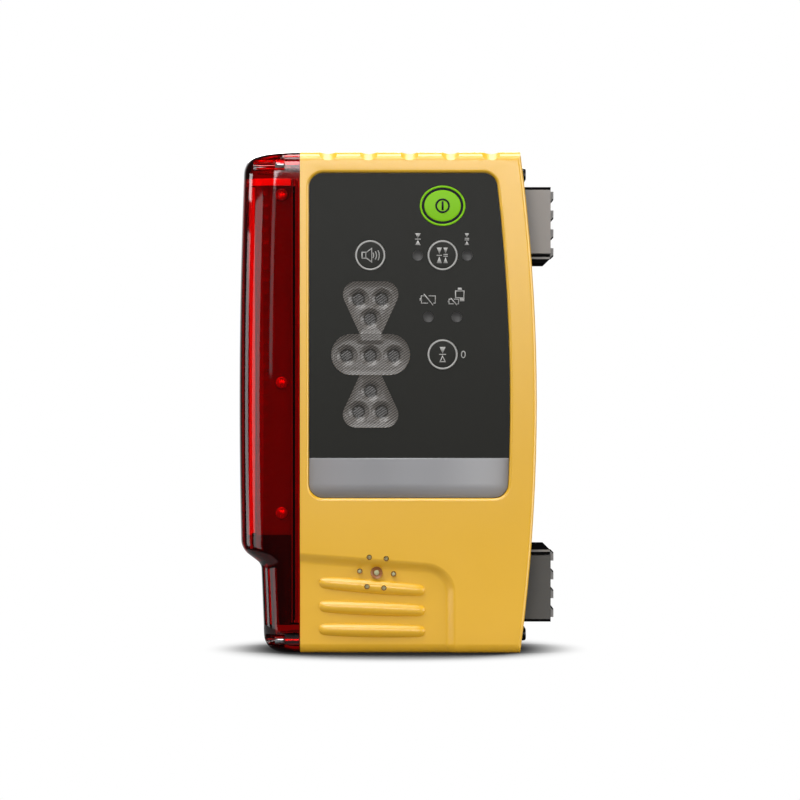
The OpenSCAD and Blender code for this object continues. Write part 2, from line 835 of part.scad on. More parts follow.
module shell_screws() {
    color("silver") for (x = column_x, z = column_z) {
        rod_y(x, z, screw_r, screw_seat_y - screw_l, screw_seat_y + screw_head_h / 2);
        rod_y(x, z, screw_head_r, screw_seat_y, screw_seat_y + screw_head_h);
    }
}

module front_overlay() {
    color([0.19, 0.19, 0.17]) difference() {
        along_y(overlay_y, overlay_back) polygon(panel_loop(0));
        along_y(overlay_y - over, overlay_back + over) lens_shapes(seat_fit);
        key_holes(overlay_y - over, overlay_back + over, slide_fit);
        status_holes(overlay_y - over, overlay_back + over);
    }
}

module grade_lens_high() {
    color("gray") along_y(overlay_y - lens_proud, overlay_back + lens_seat) polygon(arrow_loop(1, 0));
}

module grade_lens_level() {
    color("gray") along_y(overlay_y - lens_proud, overlay_back + lens_seat) polygon(level_loop(0));
}

module grade_lens_low() {
    color("gray") along_y(overlay_y - lens_proud, overlay_back + lens_seat) polygon(arrow_loop(-1, 0));
}

// A round key: a cap in its hole, with a flange that stops it behind the wall
module round_key(x, z) {
    rod_y(x, z, key_r, overlay_y - key_proud, flange_back);
    rod_y(x, z, key_r + key_flange, flange_y, flange_back);
}

// The power key: an oval cap with a crowned middle
module power_button() {
    crown_r = (power_h * power_h / 16 + key_dome * key_dome) / (2 * key_dome);
    color("yellowgreen") translate([key_x, 0, power_z]) {
        along_y(overlay_y - key_proud, flange_back) polygon(ellipse_loop(power_w, power_h));
        along_y(flange_y, flange_back)
            polygon(ellipse_loop(power_w + 2 * key_flange, power_h + 2 * key_flange));
        intersection() {
            translate([0, overlay_y - key_proud - key_dome + crown_r, 0]) sphere(r = crown_r);
            rod_y(0, 0, power_h / 2, overlay_y - key_proud - key_dome - over, overlay_y);
        }
    }
}

module sound_button() { color("dimgray") round_key(-sound_x, key_z); }
module precision_button() { color("dimgray") round_key(key_x, key_z); }
module zero_button() { color("dimgray") round_key(key_x, zero_z); }

module status_lenses() {
    color("gray") for (p = status_places) {
        rod_y(p[0], p[1], status_d / 2, overlay_y - status_proud, wall_y + status_flange);
        rod_y(p[0], p[1], status_d / 2 + status_flange, wall_y, wall_y + status_flange);
    }
}

// Keypad mat: a rubber tray that stands on the board and bridges the switches
module mat_shape(inset) {
    column = box_points(key_x - power_w / 2 - mat_margin + inset, zero_z - key_r - mat_margin + inset,
        key_x + power_w / 2 + mat_margin - inset, board_top - mat_margin - inset);
    arm = box_points(-sound_x - key_r - mat_margin + inset, key_z - key_r - mat_margin + inset,
        key_x, key_z + key_r + mat_margin - inset);
    polygon(column);
    polygon(arm);
}

module keypad_mat() {
    color("dimgray") difference() {
        along_y(mat_y, board_y) mat_shape(0);
        along_y(mat_y + mat_t, board_y + over) mat_shape(mat_rim);
        for (p = status_places) rod_y(p[0], p[1], status_d / 2 + mat_rim, mat_y - over, board_y + over);
    }
}

module tact_switches() {
    places = [[key_x, power_z], [-sound_x, key_z], [key_x, key_z], [key_x, zero_z]];
    color("black") for (p = places)
        block(p[0] - switch_w / 2, p[0] + switch_w / 2, board_y - switch_h, board_y,
            p[1] - switch_w / 2, p[1] + switch_w / 2);
}

module main_board() {
    color("darkgreen") difference() {
        along_y(board_y, board_back) polygon(box_loop(board_l, board_z, board_r, board_top, board_corner));
        for (x = board_screw_x, z = board_screw_z)
            rod_y(x, z, board_screw_r + seat_fit, board_y - over, board_back + over);
    }
}

module board_screws() {
    color("silver") for (x = board_screw_x, z = board_screw_z) {
        rod_y(x, z, board_screw_r, board_back - board_screw_l, board_back + board_screw_head_h / 2);
        rod_y(x, z, board_screw_head_r, board_back, board_back + board_screw_head_h);
    }
}

// Lamp places of the grade display: three in the level window and three in each arrow
function arrow_lamps(up) =
    let (near = level_h / 2 + lens_gap)
    [for (q = [[0, led_near_share], [-led_row / 2, led_far_share], [led_row / 2, led_far_share]])
        [q[0] - display_x, zero_z + up * (near + arrow_h * q[1])]];
function level_lamps() = [for (k = [-1:1]) [k * led_row - display_x, zero_z]];

module board_lamp(p, w, h) {
    block(p[0] - w / 2, p[0] + w / 2, board_y - h, board_y, p[1] - w / 2, p[1] + w / 2);
}

module grade_leds() {
    color("ivory") for (p = concat(arrow_lamps(1), level_lamps(), arrow_lamps(-1)))
        board_lamp(p, grade_led_w, grade_led_h);
}

module status_leds() {
    color("ivory") for (p = status_places) board_lamp(p, status_led_w, status_led_h);
}

module buzzer_membrane() {
    color("sienna") rod_y(sound_hole_x, sound_hole_z, buzzer_r, wall_y, wall_y + membrane_t);
}

module buzzer() {
    back = wall_y + membrane_t;
    color("black") rod_y(sound_hole_x, sound_hole_z, buzzer_r, back, back + buzzer_h);
}

// Front outlines of the window: its wide upper part, bowed along its outer side, and its narrow lower part
function window_side(z) =
    window_bow_r - window_reach - sqrt(window_bow_r * window_bow_r - (z - mid_z) * (z - mid_z));
function window_points(low) =
    let (inner_z = shoulder_z - shoulder_h / 2, outer_z = shoulder_z + shoulder_h / 2)
    let (rise = (case_h - window_top_fall - outer_z) / bow_steps)
    low
    ? [[window_seam, 0], [window_seam, inner_z], [-window_low_reach, inner_z],
        [window_base_lean - window_low_reach, 0]]
    : [[window_seam, case_h],
        for (i = [bow_steps:-1:0]) [window_side(outer_z + i * rise), outer_z + i * rise],
        [-window_low_reach, inner_z], [window_seam, inner_z]];
function window_radii(low) =
    low
    ? [0, 0, 0, window_base_r]
    : [0, window_top_r, for (i = [2:bow_steps]) 0, shoulder_r, 0, 0];

// Plan of the window, closed on the left: half circles of the wall blend into the flat side
function plan_points(reach, depth, right) =
    [[right, -depth], [right, depth], [-reach, depth], [-reach, -depth]];
function plan_loop(reach, r, grow, right) =
    soft_loop(plan_points(reach, window_front, right), [0, 0, r, r], grow);

module window_body(low) {
    reach = low ? window_low_reach : window_reach;
    r = low ? window_low_r : window_r;
    side = box_loop(-window_front, 0, window_front, case_h, edge_r);
    intersection() {
        along_y(-window_front - over, window_front + over)
            polygon(soft_loop(window_points(low), window_radii(low)));
        along_z(0, case_h) polygon(plan_loop(reach, r, 0, window_seam + over));
        along_x(-window_reach - over, window_seam) polygon(side);
    }
}

// Hollow of the window: its outlines moved in by the wall, between the two end blocks
module window_hollow(low) {
    reach = low ? window_low_reach : window_reach - window_sag;
    r = low ? window_low_r : window_r;
    z0 = low ? window_base : shoulder_z + shoulder_h / 2 + window_wall;
    z1 = low ? shoulder_z + shoulder_h / 2 + window_wall + over : case_h - window_top;
    inner = plan_loop(reach, r, -window_wall, window_seam + window_wall + over);
    intersection() {
        along_z(z0, z1) polygon(inner);
        union() {
            block(-reach, window_seam - flange_w, -window_front, window_front, z0, z1);
            block(-reach, window_seam + over, flange_t + window_wall - window_front,
                window_front - window_wall - flange_t, z0, z1);
        }
    }
}

// Pocket for a window screw: a slot open to the outside, with the screw's boss at its end
module window_pocket(side, z) {
    y = side * window_screw_y;
    rod_x(y, z, pocket_r, window_head_x - pocket_l, window_head_x);
    outer = side * (window_front + over);
    block(window_head_x - pocket_l, window_head_x, min(y, outer), max(y, outer), z - pocket_r, z + pocket_r);
    rod_x(y, z, window_screw_r + seat_fit, window_head_x - over, window_seam + over);
}

module sensor_window() {
    color([0.75, 0.02, 0.02, 0.7]) difference() {
        union() {
            window_body(false);
            window_body(true);
        }
        window_hollow(false);
        window_hollow(true);
        for (side = [-1, 1], z = window_screw_z) window_pocket(side, z);
    }
}

module window_seal() {
    edge = window_seal_edge;
    loop = box_loop(edge - window_front, edge, window_front - edge, case_h - edge, edge_r);
    inside = window_front - window_wall - flange_t + edge;
    hole = box_points(-inside + 2 * edge, window_base + edge, inside - 2 * edge, case_h - window_top - edge);
    color("black") difference() {
        along_x(window_seam, -seam_x) polygon(loop);
        along_x(window_seam - over, over - seam_x) polygon(hole);
        for (side = [-1, 1], z = window_screw_z)
            rod_x(side * window_screw_y, z, window_screw_r + seat_fit, window_seam - over, over - seam_x);
    }
}

module window_screws() {
    color("silver") for (side = [-1, 1], z = window_screw_z) {
        rod_x(side * window_screw_y, z, window_screw_r,
            window_head_x - window_head_h / 2, window_head_x + window_screw_l);
        rod_x(side * window_screw_y, z, window_head_r, window_head_x - window_head_h, window_head_x);
    }
}

// Plan of the sensor carrier: a channel, open towards the casing, with its web at that place
function carrier_plan(x) =
    let (outer = carrier_y, inner = carrier_y - carrier_t, web = x + carrier_t)
    [[-seam_x, -outer], [-seam_x, -inner], [web, -inner], [web, inner],
        [-seam_x, inner], [-seam_x, outer], [x, outer], [x, -outer]];

// Sensor carrier: it stands on the casing's seam wall, holds three boards and narrows into the window's foot
module sensor_carrier() {
    outer = carrier_y;
    inner = carrier_y - carrier_t;
    color("dimgray") difference() {
        union() {
            along_z(sensor_z, sensor_top) polygon(carrier_plan(carrier_x));
            along_z(carrier_foot, sensor_z + carrier_t) polygon(carrier_plan(carrier_low_x));
        }
        for (side = [-1, 1], z = sensor_screw_z)
            rod_y(sensor_screw_x, z, sensor_screw_r + seat_fit,
                min(side * inner, side * (outer + over)) - over,
                max(side * inner, side * (outer + over)) + over);
    }
}

module face_board(side) {
    y0 = min(side * carrier_y, side * sensor_front);
    difference() {
        block(front_board_l, front_board_r, y0, y0 + board_t, sensor_z, sensor_top);
        for (z = sensor_screw_z)
            rod_y(sensor_screw_x, z, sensor_screw_r + seat_fit, y0 - over, y0 + board_t + over);
    }
}

module sensor_board_front() { color("darkgreen") face_board(-1); }
module sensor_board_rear() { color("darkgreen") face_board(1); }
module sensor_board_side() {
    edge = carrier_y - carrier_t;
    color("darkgreen") block(side_board_x, carrier_x, -edge, edge, sensor_z, sensor_top);
}

module photodiodes() {
    color("black") for (i = [0:diode_count - 1]) {
        z = sensor_z + sensor_margin + i * diode_pitch;
        for (side = [-1, 1]) {
            y0 = min(side * sensor_front, side * (sensor_front + diode_t));
            block(diode_x - diode_w / 2, diode_x + diode_w / 2, y0, y0 + diode_t,
                z - diode_h / 2, z + diode_h / 2);
        }
        block(side_board_x - diode_t, side_board_x, -diode_w / 2, diode_w / 2,
            z - diode_h / 2, z + diode_h / 2);
    }
}

module sensor_screws() {
    color("silver") for (side = [-1, 1], z = sensor_screw_z)
        translate([sensor_screw_x, side * sensor_front, z])
            rotate([-90 * side, 0, 0]) {
                cylinder(h = sensor_head_h, r = sensor_head_r);
                translate([0, 0, -sensor_screw_l])
                    cylinder(h = sensor_screw_l + sensor_head_h / 2, r = sensor_screw_r);
            }
}

// Battery tray: an open box with a flange that is screwed to the rear wall from inside
module battery_tray() {
    flange = tray_wall + tray_flange;
    color("black") difference() {
        union() {
            along_y(tray_floor_y - tray_wall, rear_y)
                polygon(box_points(tray_l - tray_wall, tray_low - tray_wall,
                    tray_r + tray_wall, tray_high + tray_wall));
            along_y(rear_y - tray_wall, rear_y)
                polygon(box_points(tray_l - flange, tray_low - tray_wall,
                    tray_r + flange, tray_high + tray_wall));
        }
        along_y(tray_floor_y, rear_y + over) polygon(box_points(tray_l, tray_low, tray_r, tray_high));
        for (x = tray_screw_x, z = tray_screw_z)
            rod_y(x, z, tray_screw_r + seat_fit, rear_y - tray_wall - over, rear_y + over);
    }
}

module tray_screws() {
    seat = rear_y - tray_wall;
    color("silver") for (x = tray_screw_x, z = tray_screw_z) {
        rod_y(x, z, tray_screw_r, seat - tray_head_h / 2, seat + tray_screw_l);
        rod_y(x, z, tray_head_r, seat - tray_head_h, seat);
    }
}

// A cell with its raised positive end upwards, standing at height z
module cell(x, z) {
    translate([x, cell_y, z]) {
        cylinder(h = cell_l - nub_h, r = cell_d / 2);
        cylinder(h = cell_l, r = nub_r);
    }
}

module column_end(k) {
    if (k == 0) children();
    else translate([0, 0, tray_z]) mirror([0, 0, 1]) translate([0, 0, -tray_z]) children();
}

module battery_cells() {
    color("saddlebrown") for (k = [0, 1], n = [0, 1])
        column_end(k) cell(cell_x[k], tray_low + spring_h + cell_gap / 2 + n * (cell_l + cell_gap));
}

// Leaf springs: bent strips that push each row of cells against its flat contact
module contact_springs() {
    color("silver") for (k = [0, 1])
        column_end(k)
            translate([cell_x[k], 0, tray_low])
                along_y(cell_y - spring_w / 2, cell_y + spring_w / 2)
                    intersection() {
                        difference() {
                            circle(r = spring_h);
                            circle(r = spring_h - spring_t);
                        }
                        polygon(box_points(-spring_h - over, 0, spring_h + over, spring_h + over));
                    }
}

module contact_plates() {
    color("silver") for (k = [0, 1])
        column_end(k)
            block(cell_x[k] - contact_w / 2, cell_x[k] + contact_w / 2,
                cell_y - contact_w / 2, cell_y + contact_w / 2,
                tray_high - contact_t, tray_high);
}

module door_seal_loop(y0, y1, fit) {
    inset = door_seal_inset - fit;
    along_y(y0, y1) difference() {
        polygon(box_loop(tray_l, tray_low, tray_r, tray_high, tray_gap, inset + door_seal_w + 2 * fit));
        polygon(box_loop(tray_l, tray_low, tray_r, tray_high, tray_gap, inset));
    }
}

module door_seal() {
    color("black") door_seal_loop(ledge_y - door_seal_sink + seat_fit, ledge_y + slide_fit, 0);
}

// Battery door: a plate with a hinge barrel along its top and a cup for the knob
module battery_door() {
    left = tray_x - door_w / 2;
    right = tray_x + door_w / 2;
    outline = soft_loop(box_points(left, door_z, right, hinge_z), [door_corner, door_corner, 0, 0]);
    color("goldenrod") difference() {
        union() {
            along_y(door_y, half_d) polygon(outline);
            rod_x(hinge_y, hinge_z, barrel_r, left, right);
            rod_y(tray_x, knob_z, door_boss_r, door_boss_y, half_d - door_t / 2);
        }
        rod_x(hinge_y, hinge_z, hinge_pin_d / 2 + seat_fit, left - over, right + over);
        rod_y(tray_x, knob_z, knob_d / 2 + knob_gap, knob_back, half_d + over);
        rod_y(tray_x, knob_z, knob_shank_r + seat_fit, door_boss_y - over, knob_back + over);
    }
}

module door_hinge_pin() {
    color("silver") rod_x(hinge_y, hinge_z, hinge_pin_d / 2,
        tray_x - door_w / 2 - hinge_hold, tray_x + door_w / 2 + hinge_hold);
}

// Door knob: a disc with a finger bar between two scoops, on a screw shank
module door_knob() {
    color("black") difference() {
        union() {
            rod_y(tray_x, knob_z, knob_d / 2, knob_back + slide_fit, knob_back + knob_t);
            rod_y(tray_x, knob_z, knob_shank_r, knob_back - knob_shank_l, knob_back + knob_t / 2);
        }
        for (side = [-1, 1])
            intersection() {
                rod_y(tray_x, knob_z, knob_d / 2 - knob_floor, knob_back + knob_t - knob_bar_depth, half_d);
                block(tray_x - knob_d, tray_x + knob_d, knob_back, half_d + over,
                    knob_z + min(side * knob_bar_w / 2, side * knob_d),
                    knob_z + max(side * knob_bar_w / 2, side * knob_d));
            }
    }
}

module knob_insert() {
    color("goldenrod") difference() {
        rod_y(tray_x, knob_z, insert_r, cup_y - insert_l, cup_y);
        rod_y(tray_x, knob_z, knob_shank_r + insert_gap, cup_y - insert_l - over, cup_y + over);
    }
}

module side_plate() {
    half = side_recess_d / 2 - plate_gap;
    end = recess_end + plate_gap;
    color("gray") difference() {
        along_x(plate_seat, plate_face) polygon(box_loop(-half, end, half, case_h - end, plate_corner));
        for (y = [-plate_screw_y, plate_screw_y], z = plate_screw_z)
            rod_x(y, z, screw_r + seat_fit, plate_seat - over, plate_face + over);
        for (k = [0, 1]) magnet_end_of(k) mount_screw_cuts();
    }
}

module plate_screws() {
    color("black") for (y = [-plate_screw_y, plate_screw_y], z = plate_screw_z) {
        rod_x(y, z, screw_r, plate_seat - plate_screw_depth, plate_face + plate_head_h / 2);
        rod_x(y, z, plate_head_r, plate_face, plate_face + plate_head_h);
    }
}

// Magnet mounts: each is drawn upwards from mid height, and the lower one is its mirror image
module magnet_end_of(k) {
    translate([0, 0, mount_mid])
        if (k == 0) children();
        else mirror([0, 0, 1]) children();
}

module mount_screw(r_extra) {
    z = (magnet_out + magnet_in) / 2;
    for (y = [-mount_screw_y, mount_screw_y])
        translate([plate_seat, y, z])
            rotate([0, 90, 0]) {
                cylinder(h = plate_t / 2, r1 = mount_head_r + r_extra, r2 = mount_screw_r + r_extra);
                cylinder(h = mount_screw_l + r_extra, r = mount_screw_r + r_extra);
            }
}

module mount_screw_cuts() { mount_screw(seat_fit); }

module mount_screws() {
    color("silver") for (k = [0, 1]) magnet_end_of(k) mount_screw(0);
}

module magnet_carrier() {
    shape = [[plate_face, magnet_in], [cheek_x - foot_chamfer_x, magnet_in],
        [cheek_x, magnet_in + foot_h - cap_t / 2],
        [cheek_x, magnet_in + foot_h], [yoke_x, magnet_in + foot_h], [yoke_x, magnet_out - cap_t],
        [cheek_x, magnet_out - cap_t], [cheek_x, magnet_out], [plate_face, magnet_out]];
    color([0.12, 0.12, 0.12]) difference() {
        along_y(-magnet_d / 2, magnet_d / 2) polygon(shape);
        mount_screw_cuts();
    }
}

module magnet_yoke() {
    low = magnet_in + foot_h + seat_fit;
    high = magnet_out - cap_t - seat_fit;
    color([0.55, 0.54, 0.53]) difference() {
        union() {
            block(yoke_x, yoke_x + yoke_back, -magnet_d / 2, magnet_d / 2, low, high);
            for (side = [-1, 1]) {
                y = side * (magnet_d - cheek_t) / 2;
                block(yoke_x, cheek_x, y - cheek_t / 2, y + cheek_t / 2, low + cheek_foot_gap, high);
            }
        }
        mount_screw_cuts();
    }
}

module pole_bars() {
    half = magnet_d / 2 - cheek_t - seat_fit;
    x0 = yoke_x + yoke_back;
    color([0.6, 0.6, 0.6]) for (i = [0:pole_count - 1]) {
        top = magnet_out - pole_first - i * pole_pitch;
        low = top - pole_h;
        along_y(-half, half) polygon([[x0, low],
            [pole_reach - pole_chamfer, low], [pole_reach, low + pole_chamfer],
            [pole_reach, top], [x0, top]]);
    }
}

module magnet_blocks() {
    half = magnet_d / 2 - cheek_t - seat_fit;
    color([0.2, 0.2, 0.2]) for (i = [1:pole_count - 1]) {
        low = magnet_out - pole_first - i * pole_pitch + seat_fit;
        block(yoke_x + yoke_back, pole_reach - magnet_sink, -half, half,
            low, low + pole_pitch - pole_h - 2 * seat_fit);
    }
}

module magnet_carrier_upper() { magnet_end_of(0) magnet_carrier(); }
module magnet_carrier_lower() { magnet_end_of(1) magnet_carrier(); }
module magnet_yoke_upper() { magnet_end_of(0) magnet_yoke(); }
module magnet_yoke_lower() { magnet_end_of(1) magnet_yoke(); }
module pole_bars_upper() { magnet_end_of(0) pole_bars(); }
module pole_bars_lower() { magnet_end_of(1) pole_bars(); }
module magnet_blocks_upper() { magnet_end_of(0) magnet_blocks(); }
module magnet_blocks_lower() { magnet_end_of(1) magnet_blocks(); }

front_shell();
rear_shell();
shell_seal();
shell_screws();
front_overlay();
grade_lens_high();
grade_lens_level();
grade_lens_low();
power_button();
sound_button();
precision_button();
zero_button();
status_lenses();
keypad_mat();
tact_switches();
main_board();
board_screws();
grade_leds();
status_leds();
buzzer_membrane();
buzzer();
sensor_window();
window_seal();
window_screws();
sensor_carrier();
sensor_board_front();
sensor_board_side();
sensor_board_rear();
photodiodes();
sensor_screws();
battery_tray();
tray_screws();
battery_cells();
contact_springs();
contact_plates();
battery_door();
door_seal();
door_hinge_pin();
door_knob();
knob_insert();
side_plate();
plate_screws();
mount_screws();
magnet_carrier_upper();
magnet_yoke_upper();
pole_bars_upper();
magnet_blocks_upper();
magnet_carrier_lower();
magnet_yoke_lower();
pole_bars_lower();
magnet_blocks_lower();
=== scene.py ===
import math

import bmesh
import bpy
import numpy as np
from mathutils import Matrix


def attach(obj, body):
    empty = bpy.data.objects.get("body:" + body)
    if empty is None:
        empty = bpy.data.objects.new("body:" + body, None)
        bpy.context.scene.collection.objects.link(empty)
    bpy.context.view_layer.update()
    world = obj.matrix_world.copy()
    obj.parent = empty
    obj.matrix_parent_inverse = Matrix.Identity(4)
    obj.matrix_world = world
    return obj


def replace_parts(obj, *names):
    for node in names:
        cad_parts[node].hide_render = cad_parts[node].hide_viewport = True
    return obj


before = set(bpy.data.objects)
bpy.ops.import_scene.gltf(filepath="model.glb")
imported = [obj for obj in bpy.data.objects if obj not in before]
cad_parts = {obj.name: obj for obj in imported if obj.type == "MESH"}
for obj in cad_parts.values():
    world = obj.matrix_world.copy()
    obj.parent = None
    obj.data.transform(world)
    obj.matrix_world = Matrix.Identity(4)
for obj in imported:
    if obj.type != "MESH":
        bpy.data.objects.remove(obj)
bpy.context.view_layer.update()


# Circuit boards: the main board behind the keypad and the three narrow boards of the sensor.
# Glass-fibre sheet under a glossy solder mask, with etched tracks. The main board hangs on
# four screws in the front shell, and the sensor boards are screwed to their bent carrier.

def new_material(name, **sockets):
    """A material with one Principled BSDF, whose sockets take the given constants."""
    material = bpy.data.materials.new(name)
    material.use_nodes = True
    shader = material.node_tree.nodes["Principled BSDF"]
    for socket, value in sockets.items():
        shader.inputs[socket.replace("_", " ").title().replace("Ior", "IOR")].default_value = value
    return material


def srgb(red, green, blue):
    """A colour as it is seen on screen, 0 to 255, turned into linear light."""
    seen = np.array([red, green, blue]) / 255
    linear = np.where(seen < 0.04045, seen / 12.92, ((seen + 0.055) / 1.055) ** 2.4)
    return (*linear, 1)


def feed(tree, socket, value):
    """Puts a constant on a socket, or links another node's output to it."""
    if isinstance(value, bpy.types.NodeSocket):
        tree.links.new(value, socket)
    else:
        socket.default_value = value


def add_node(tree, kind, **values):
    """A node of that kind, with its named inputs or its own settings filled in."""
    node = tree.nodes.new("ShaderNode" + kind)
    for key, value in values.items():
        socket = next((s for s in node.inputs if s.enabled and s.name == key.replace("_", " ")), None)
        if socket is None:
            setattr(node, key, value)
        else:
            feed(tree, socket, value)
    return node


def compute(tree, operation, *values, kind="Math"):
    """The result of a Math or VectorMath node, whose inputs take the given values in order."""
    node = add_node(tree, kind, operation=operation)
    for socket, value in zip([s for s in node.inputs if s.enabled], values):
        feed(tree, socket, value)
    return next(s for s in node.outputs if s.enabled)


def new_group(name, inputs, outputs):
    """A shader node group with named sockets: colours by a 4-tuple, values by a number."""
    group = bpy.data.node_groups.new(name, "ShaderNodeTree")
    for label, value in inputs.items():
        kind = "NodeSocketColor" if isinstance(value, tuple) else "NodeSocketFloat"
        group.interface.new_socket(label, in_out="INPUT", socket_type=kind).default_value = value
    for label, kind in outputs.items():
        group.interface.new_socket(label, in_out="OUTPUT", socket_type=kind)
    return group, group.nodes.new("NodeGroupInput"), group.nodes.new("NodeGroupOutput")


def moulded_plastic_group():
    """Tool-textured plastic: a fine grain raises the surface, a broad cloud shifts tone and gloss."""
    group, take, give = new_group(
        "moulded_plastic",
        {"Color": (0.5, 0.5, 0.5, 1), "Tone": 0.06, "Grain": 2200.0, "Rough": 0.45, "Spread": 0.08},
        {"Color": "NodeSocketColor", "Roughness": "NodeSocketFloat", "Height": "NodeSocketFloat"})
    place = add_node(group, "TexCoord").outputs["Object"]
    grain = add_node(group, "TexNoise", Vector=place, Scale=take.outputs["Grain"], Detail=3.0)
    cloud = add_node(group, "TexNoise", Vector=place, Scale=24.0, Detail=4.0, Roughness=0.6)
    centred = compute(group, "SUBTRACT", cloud.outputs["Fac"], 0.5)
    shift = compute(group, "MULTIPLY_ADD", centred, take.outputs["Tone"], 1.0)
    tinted = compute(group, "SCALE", take.outputs["Color"], shift, kind="VectorMath")
    gloss = compute(group, "MULTIPLY_ADD", centred, take.outputs["Spread"], take.outputs["Rough"])
    for label, value in {"Color": tinted, "Roughness": gloss, "Height": grain.outputs["Fac"]}.items():
        group.links.new(value, give.inputs[label])
    return group


moulded_plastic = moulded_plastic_group()
MM = 0.001


def grained(name, color, rough, tone=0.06, grain=2200.0, spread=0.08, raise_mm=0.02, **sockets):
    """A material on the moulded_plastic group: its colour, roughness and fine bump."""
    material = new_material(name, **sockets)
    tree = material.node_tree
    shader = tree.nodes["Principled BSDF"]
    skin = add_node(tree, "Group", node_tree=moulded_plastic, Color=color, Tone=tone, Grain=grain,
                    Rough=rough, Spread=spread)
    bump = add_node(tree, "Bump", Strength=1.0, Distance=raise_mm * MM, Height=skin.outputs["Height"])
    tree.links.new(skin.outputs["Color"], shader.inputs["Base Color"])
    tree.links.new(skin.outputs["Roughness"], shader.inputs["Roughness"])
    tree.links.new(bump.outputs["Normal"], shader.inputs["Normal"])
    return material


def dress(material, *nodes):
    """Gives CAD nodes their material; the nodes stay as they are."""
    for name in nodes:
        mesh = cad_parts[name].data
        mesh.materials.clear()
        mesh.materials.append(material)


board_mask = grained("board_mask", srgb(24, 96, 58), rough=0.32, tone=0.25, grain=900.0, raise_mm=0.03)
sensor_mask = grained("sensor_mask", srgb(78, 60, 48), rough=0.5, tone=0.25, grain=700.0, raise_mm=0.03)
# Pale board stock. On the edge pads beside the window's wall, the same colour stands in for the glow along
# its edge: painted light.
pale_board_and_glow_pads = grained("pale_board_and_glow_pads", srgb(238, 232, 214), rough=0.5, tone=0.1, grain=700.0)
diode_clear = grained("diode_clear", srgb(100, 80, 66), rough=0.25, tone=0.1, grain=1200.0, raise_mm=0.01)
board_black = grained("board_black", srgb(26, 26, 28), rough=0.4, tone=0.2, grain=1500.0)
carrier_dull = grained("carrier_dull", srgb(10, 10, 10), rough=0.7, tone=0.2, grain=900.0,
                       specular_ior_level=0.1)
lamp_white = grained("lamp_white", srgb(222, 220, 204), rough=0.3, tone=0.08, grain=1200.0)
screw_steel = grained("screw_steel", srgb(196, 196, 198), rough=0.26, tone=0.1, grain=3000.0, spread=0.2,
                      raise_mm=0.006, metallic=1.0)
dress(board_mask, "main_board")
dress(sensor_mask, "sensor_board_front", "sensor_board_rear")
dress(pale_board_and_glow_pads, "sensor_board_side")
dress(board_black, "tact_switches", "buzzer", "keypad_mat")
dress(carrier_dull, "sensor_carrier")
dress(diode_clear, "photodiodes")
dress(lamp_white, "grade_leds", "status_leds", "buzzer_membrane")
dress(screw_steel, "board_screws", "shell_screws", "tray_screws", "mount_screws")


# Casing: two deep shells of tough yellow plastic that meet at mid depth over a seal cord.
# The front has the panel's recess with a rounded lip, the soft grip recess and its ribs,
# and flutes run over the top. Six screws pull the halves together from behind.

def welded(node):
    """The points and triangles of a CAD node, with points that fall together made one."""
    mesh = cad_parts[node].data
    mesh.calc_loop_triangles()
    points = np.empty(len(mesh.vertices) * 3)
    mesh.vertices.foreach_get("co", points)
    corners = np.empty(len(mesh.loop_triangles) * 3, dtype=np.int32)
    mesh.loop_triangles.foreach_get("vertices", corners)
    points, corners = points.reshape(-1, 3), corners.reshape(-1, 3)
    _, first, place = np.unique(np.round(points, 7), axis=0, return_index=True, return_inverse=True)
    corners = place.ravel()[corners]
    whole = np.all(corners != np.roll(corners, 1, axis=1), axis=1)
    return points[first], corners[whole]


def new_piece(name, points, faces, material, body, slot, crease=30.0, outward=True):
    """An object from points in metres and faces, welded, smooth up to the crease angle, riding on a body."""
    mesh = bpy.data.meshes.new(name)
    mesh.from_pydata(np.asarray(points).tolist(), [], np.asarray(faces).tolist())
    work = bmesh.new()
    work.from_mesh(mesh)
    bmesh.ops.remove_doubles(work, verts=work.verts, dist=1e-7)
    bmesh.ops.dissolve_degenerate(work, edges=work.edges, dist=1e-8)
    if outward:
        bmesh.ops.recalc_face_normals(work, faces=work.faces)
    for face in work.faces:
        face.smooth = True
    for edge in work.edges:
        edge.smooth = edge.calc_face_angle(0.0) < math.radians(crease)
    work.to_mesh(mesh)
    work.free()
    mesh.materials.append(material)
    piece = bpy.data.objects.new(name, mesh)
    bpy.context.scene.collection.objects.link(piece)
    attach(piece, body)
    return piece


def eased(piece):
    """Weighs a piece's normals by face area, so that flats stay flat beside their rounded edges."""
    ease = piece.modifiers.new("even_shading", "WEIGHTED_NORMAL")
    ease.keep_sharp = True
    ease.weight = 100
    return piece


def smooth_copy(node, material, body, slot, crease=24.0):
    """A welded, evenly shaded copy of a CAD node, which it replaces."""
    piece = new_piece(node + "_skin", *welded(node), material, body, slot, crease, outward=False)
    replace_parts(eased(piece), node)
    return piece


GRIP_ROUGH, GRIP_HEIGHTS, GRIP_DEPTHS = 0.62, (0.2465, 0.2485), (-0.0365, -0.033)


def remap(tree, value, start, end, low=0.0, high=1.0, soft=False):
    """A Map Range node's result: start to end becomes low to high, in a straight line or an S."""
    node = add_node(tree, "MapRange", interpolation_type="SMOOTHSTEP" if soft else "LINEAR",
                    Value=value, From_Min=start, From_Max=end, To_Min=low, To_Max=high)
    return node.outputs["Result"]


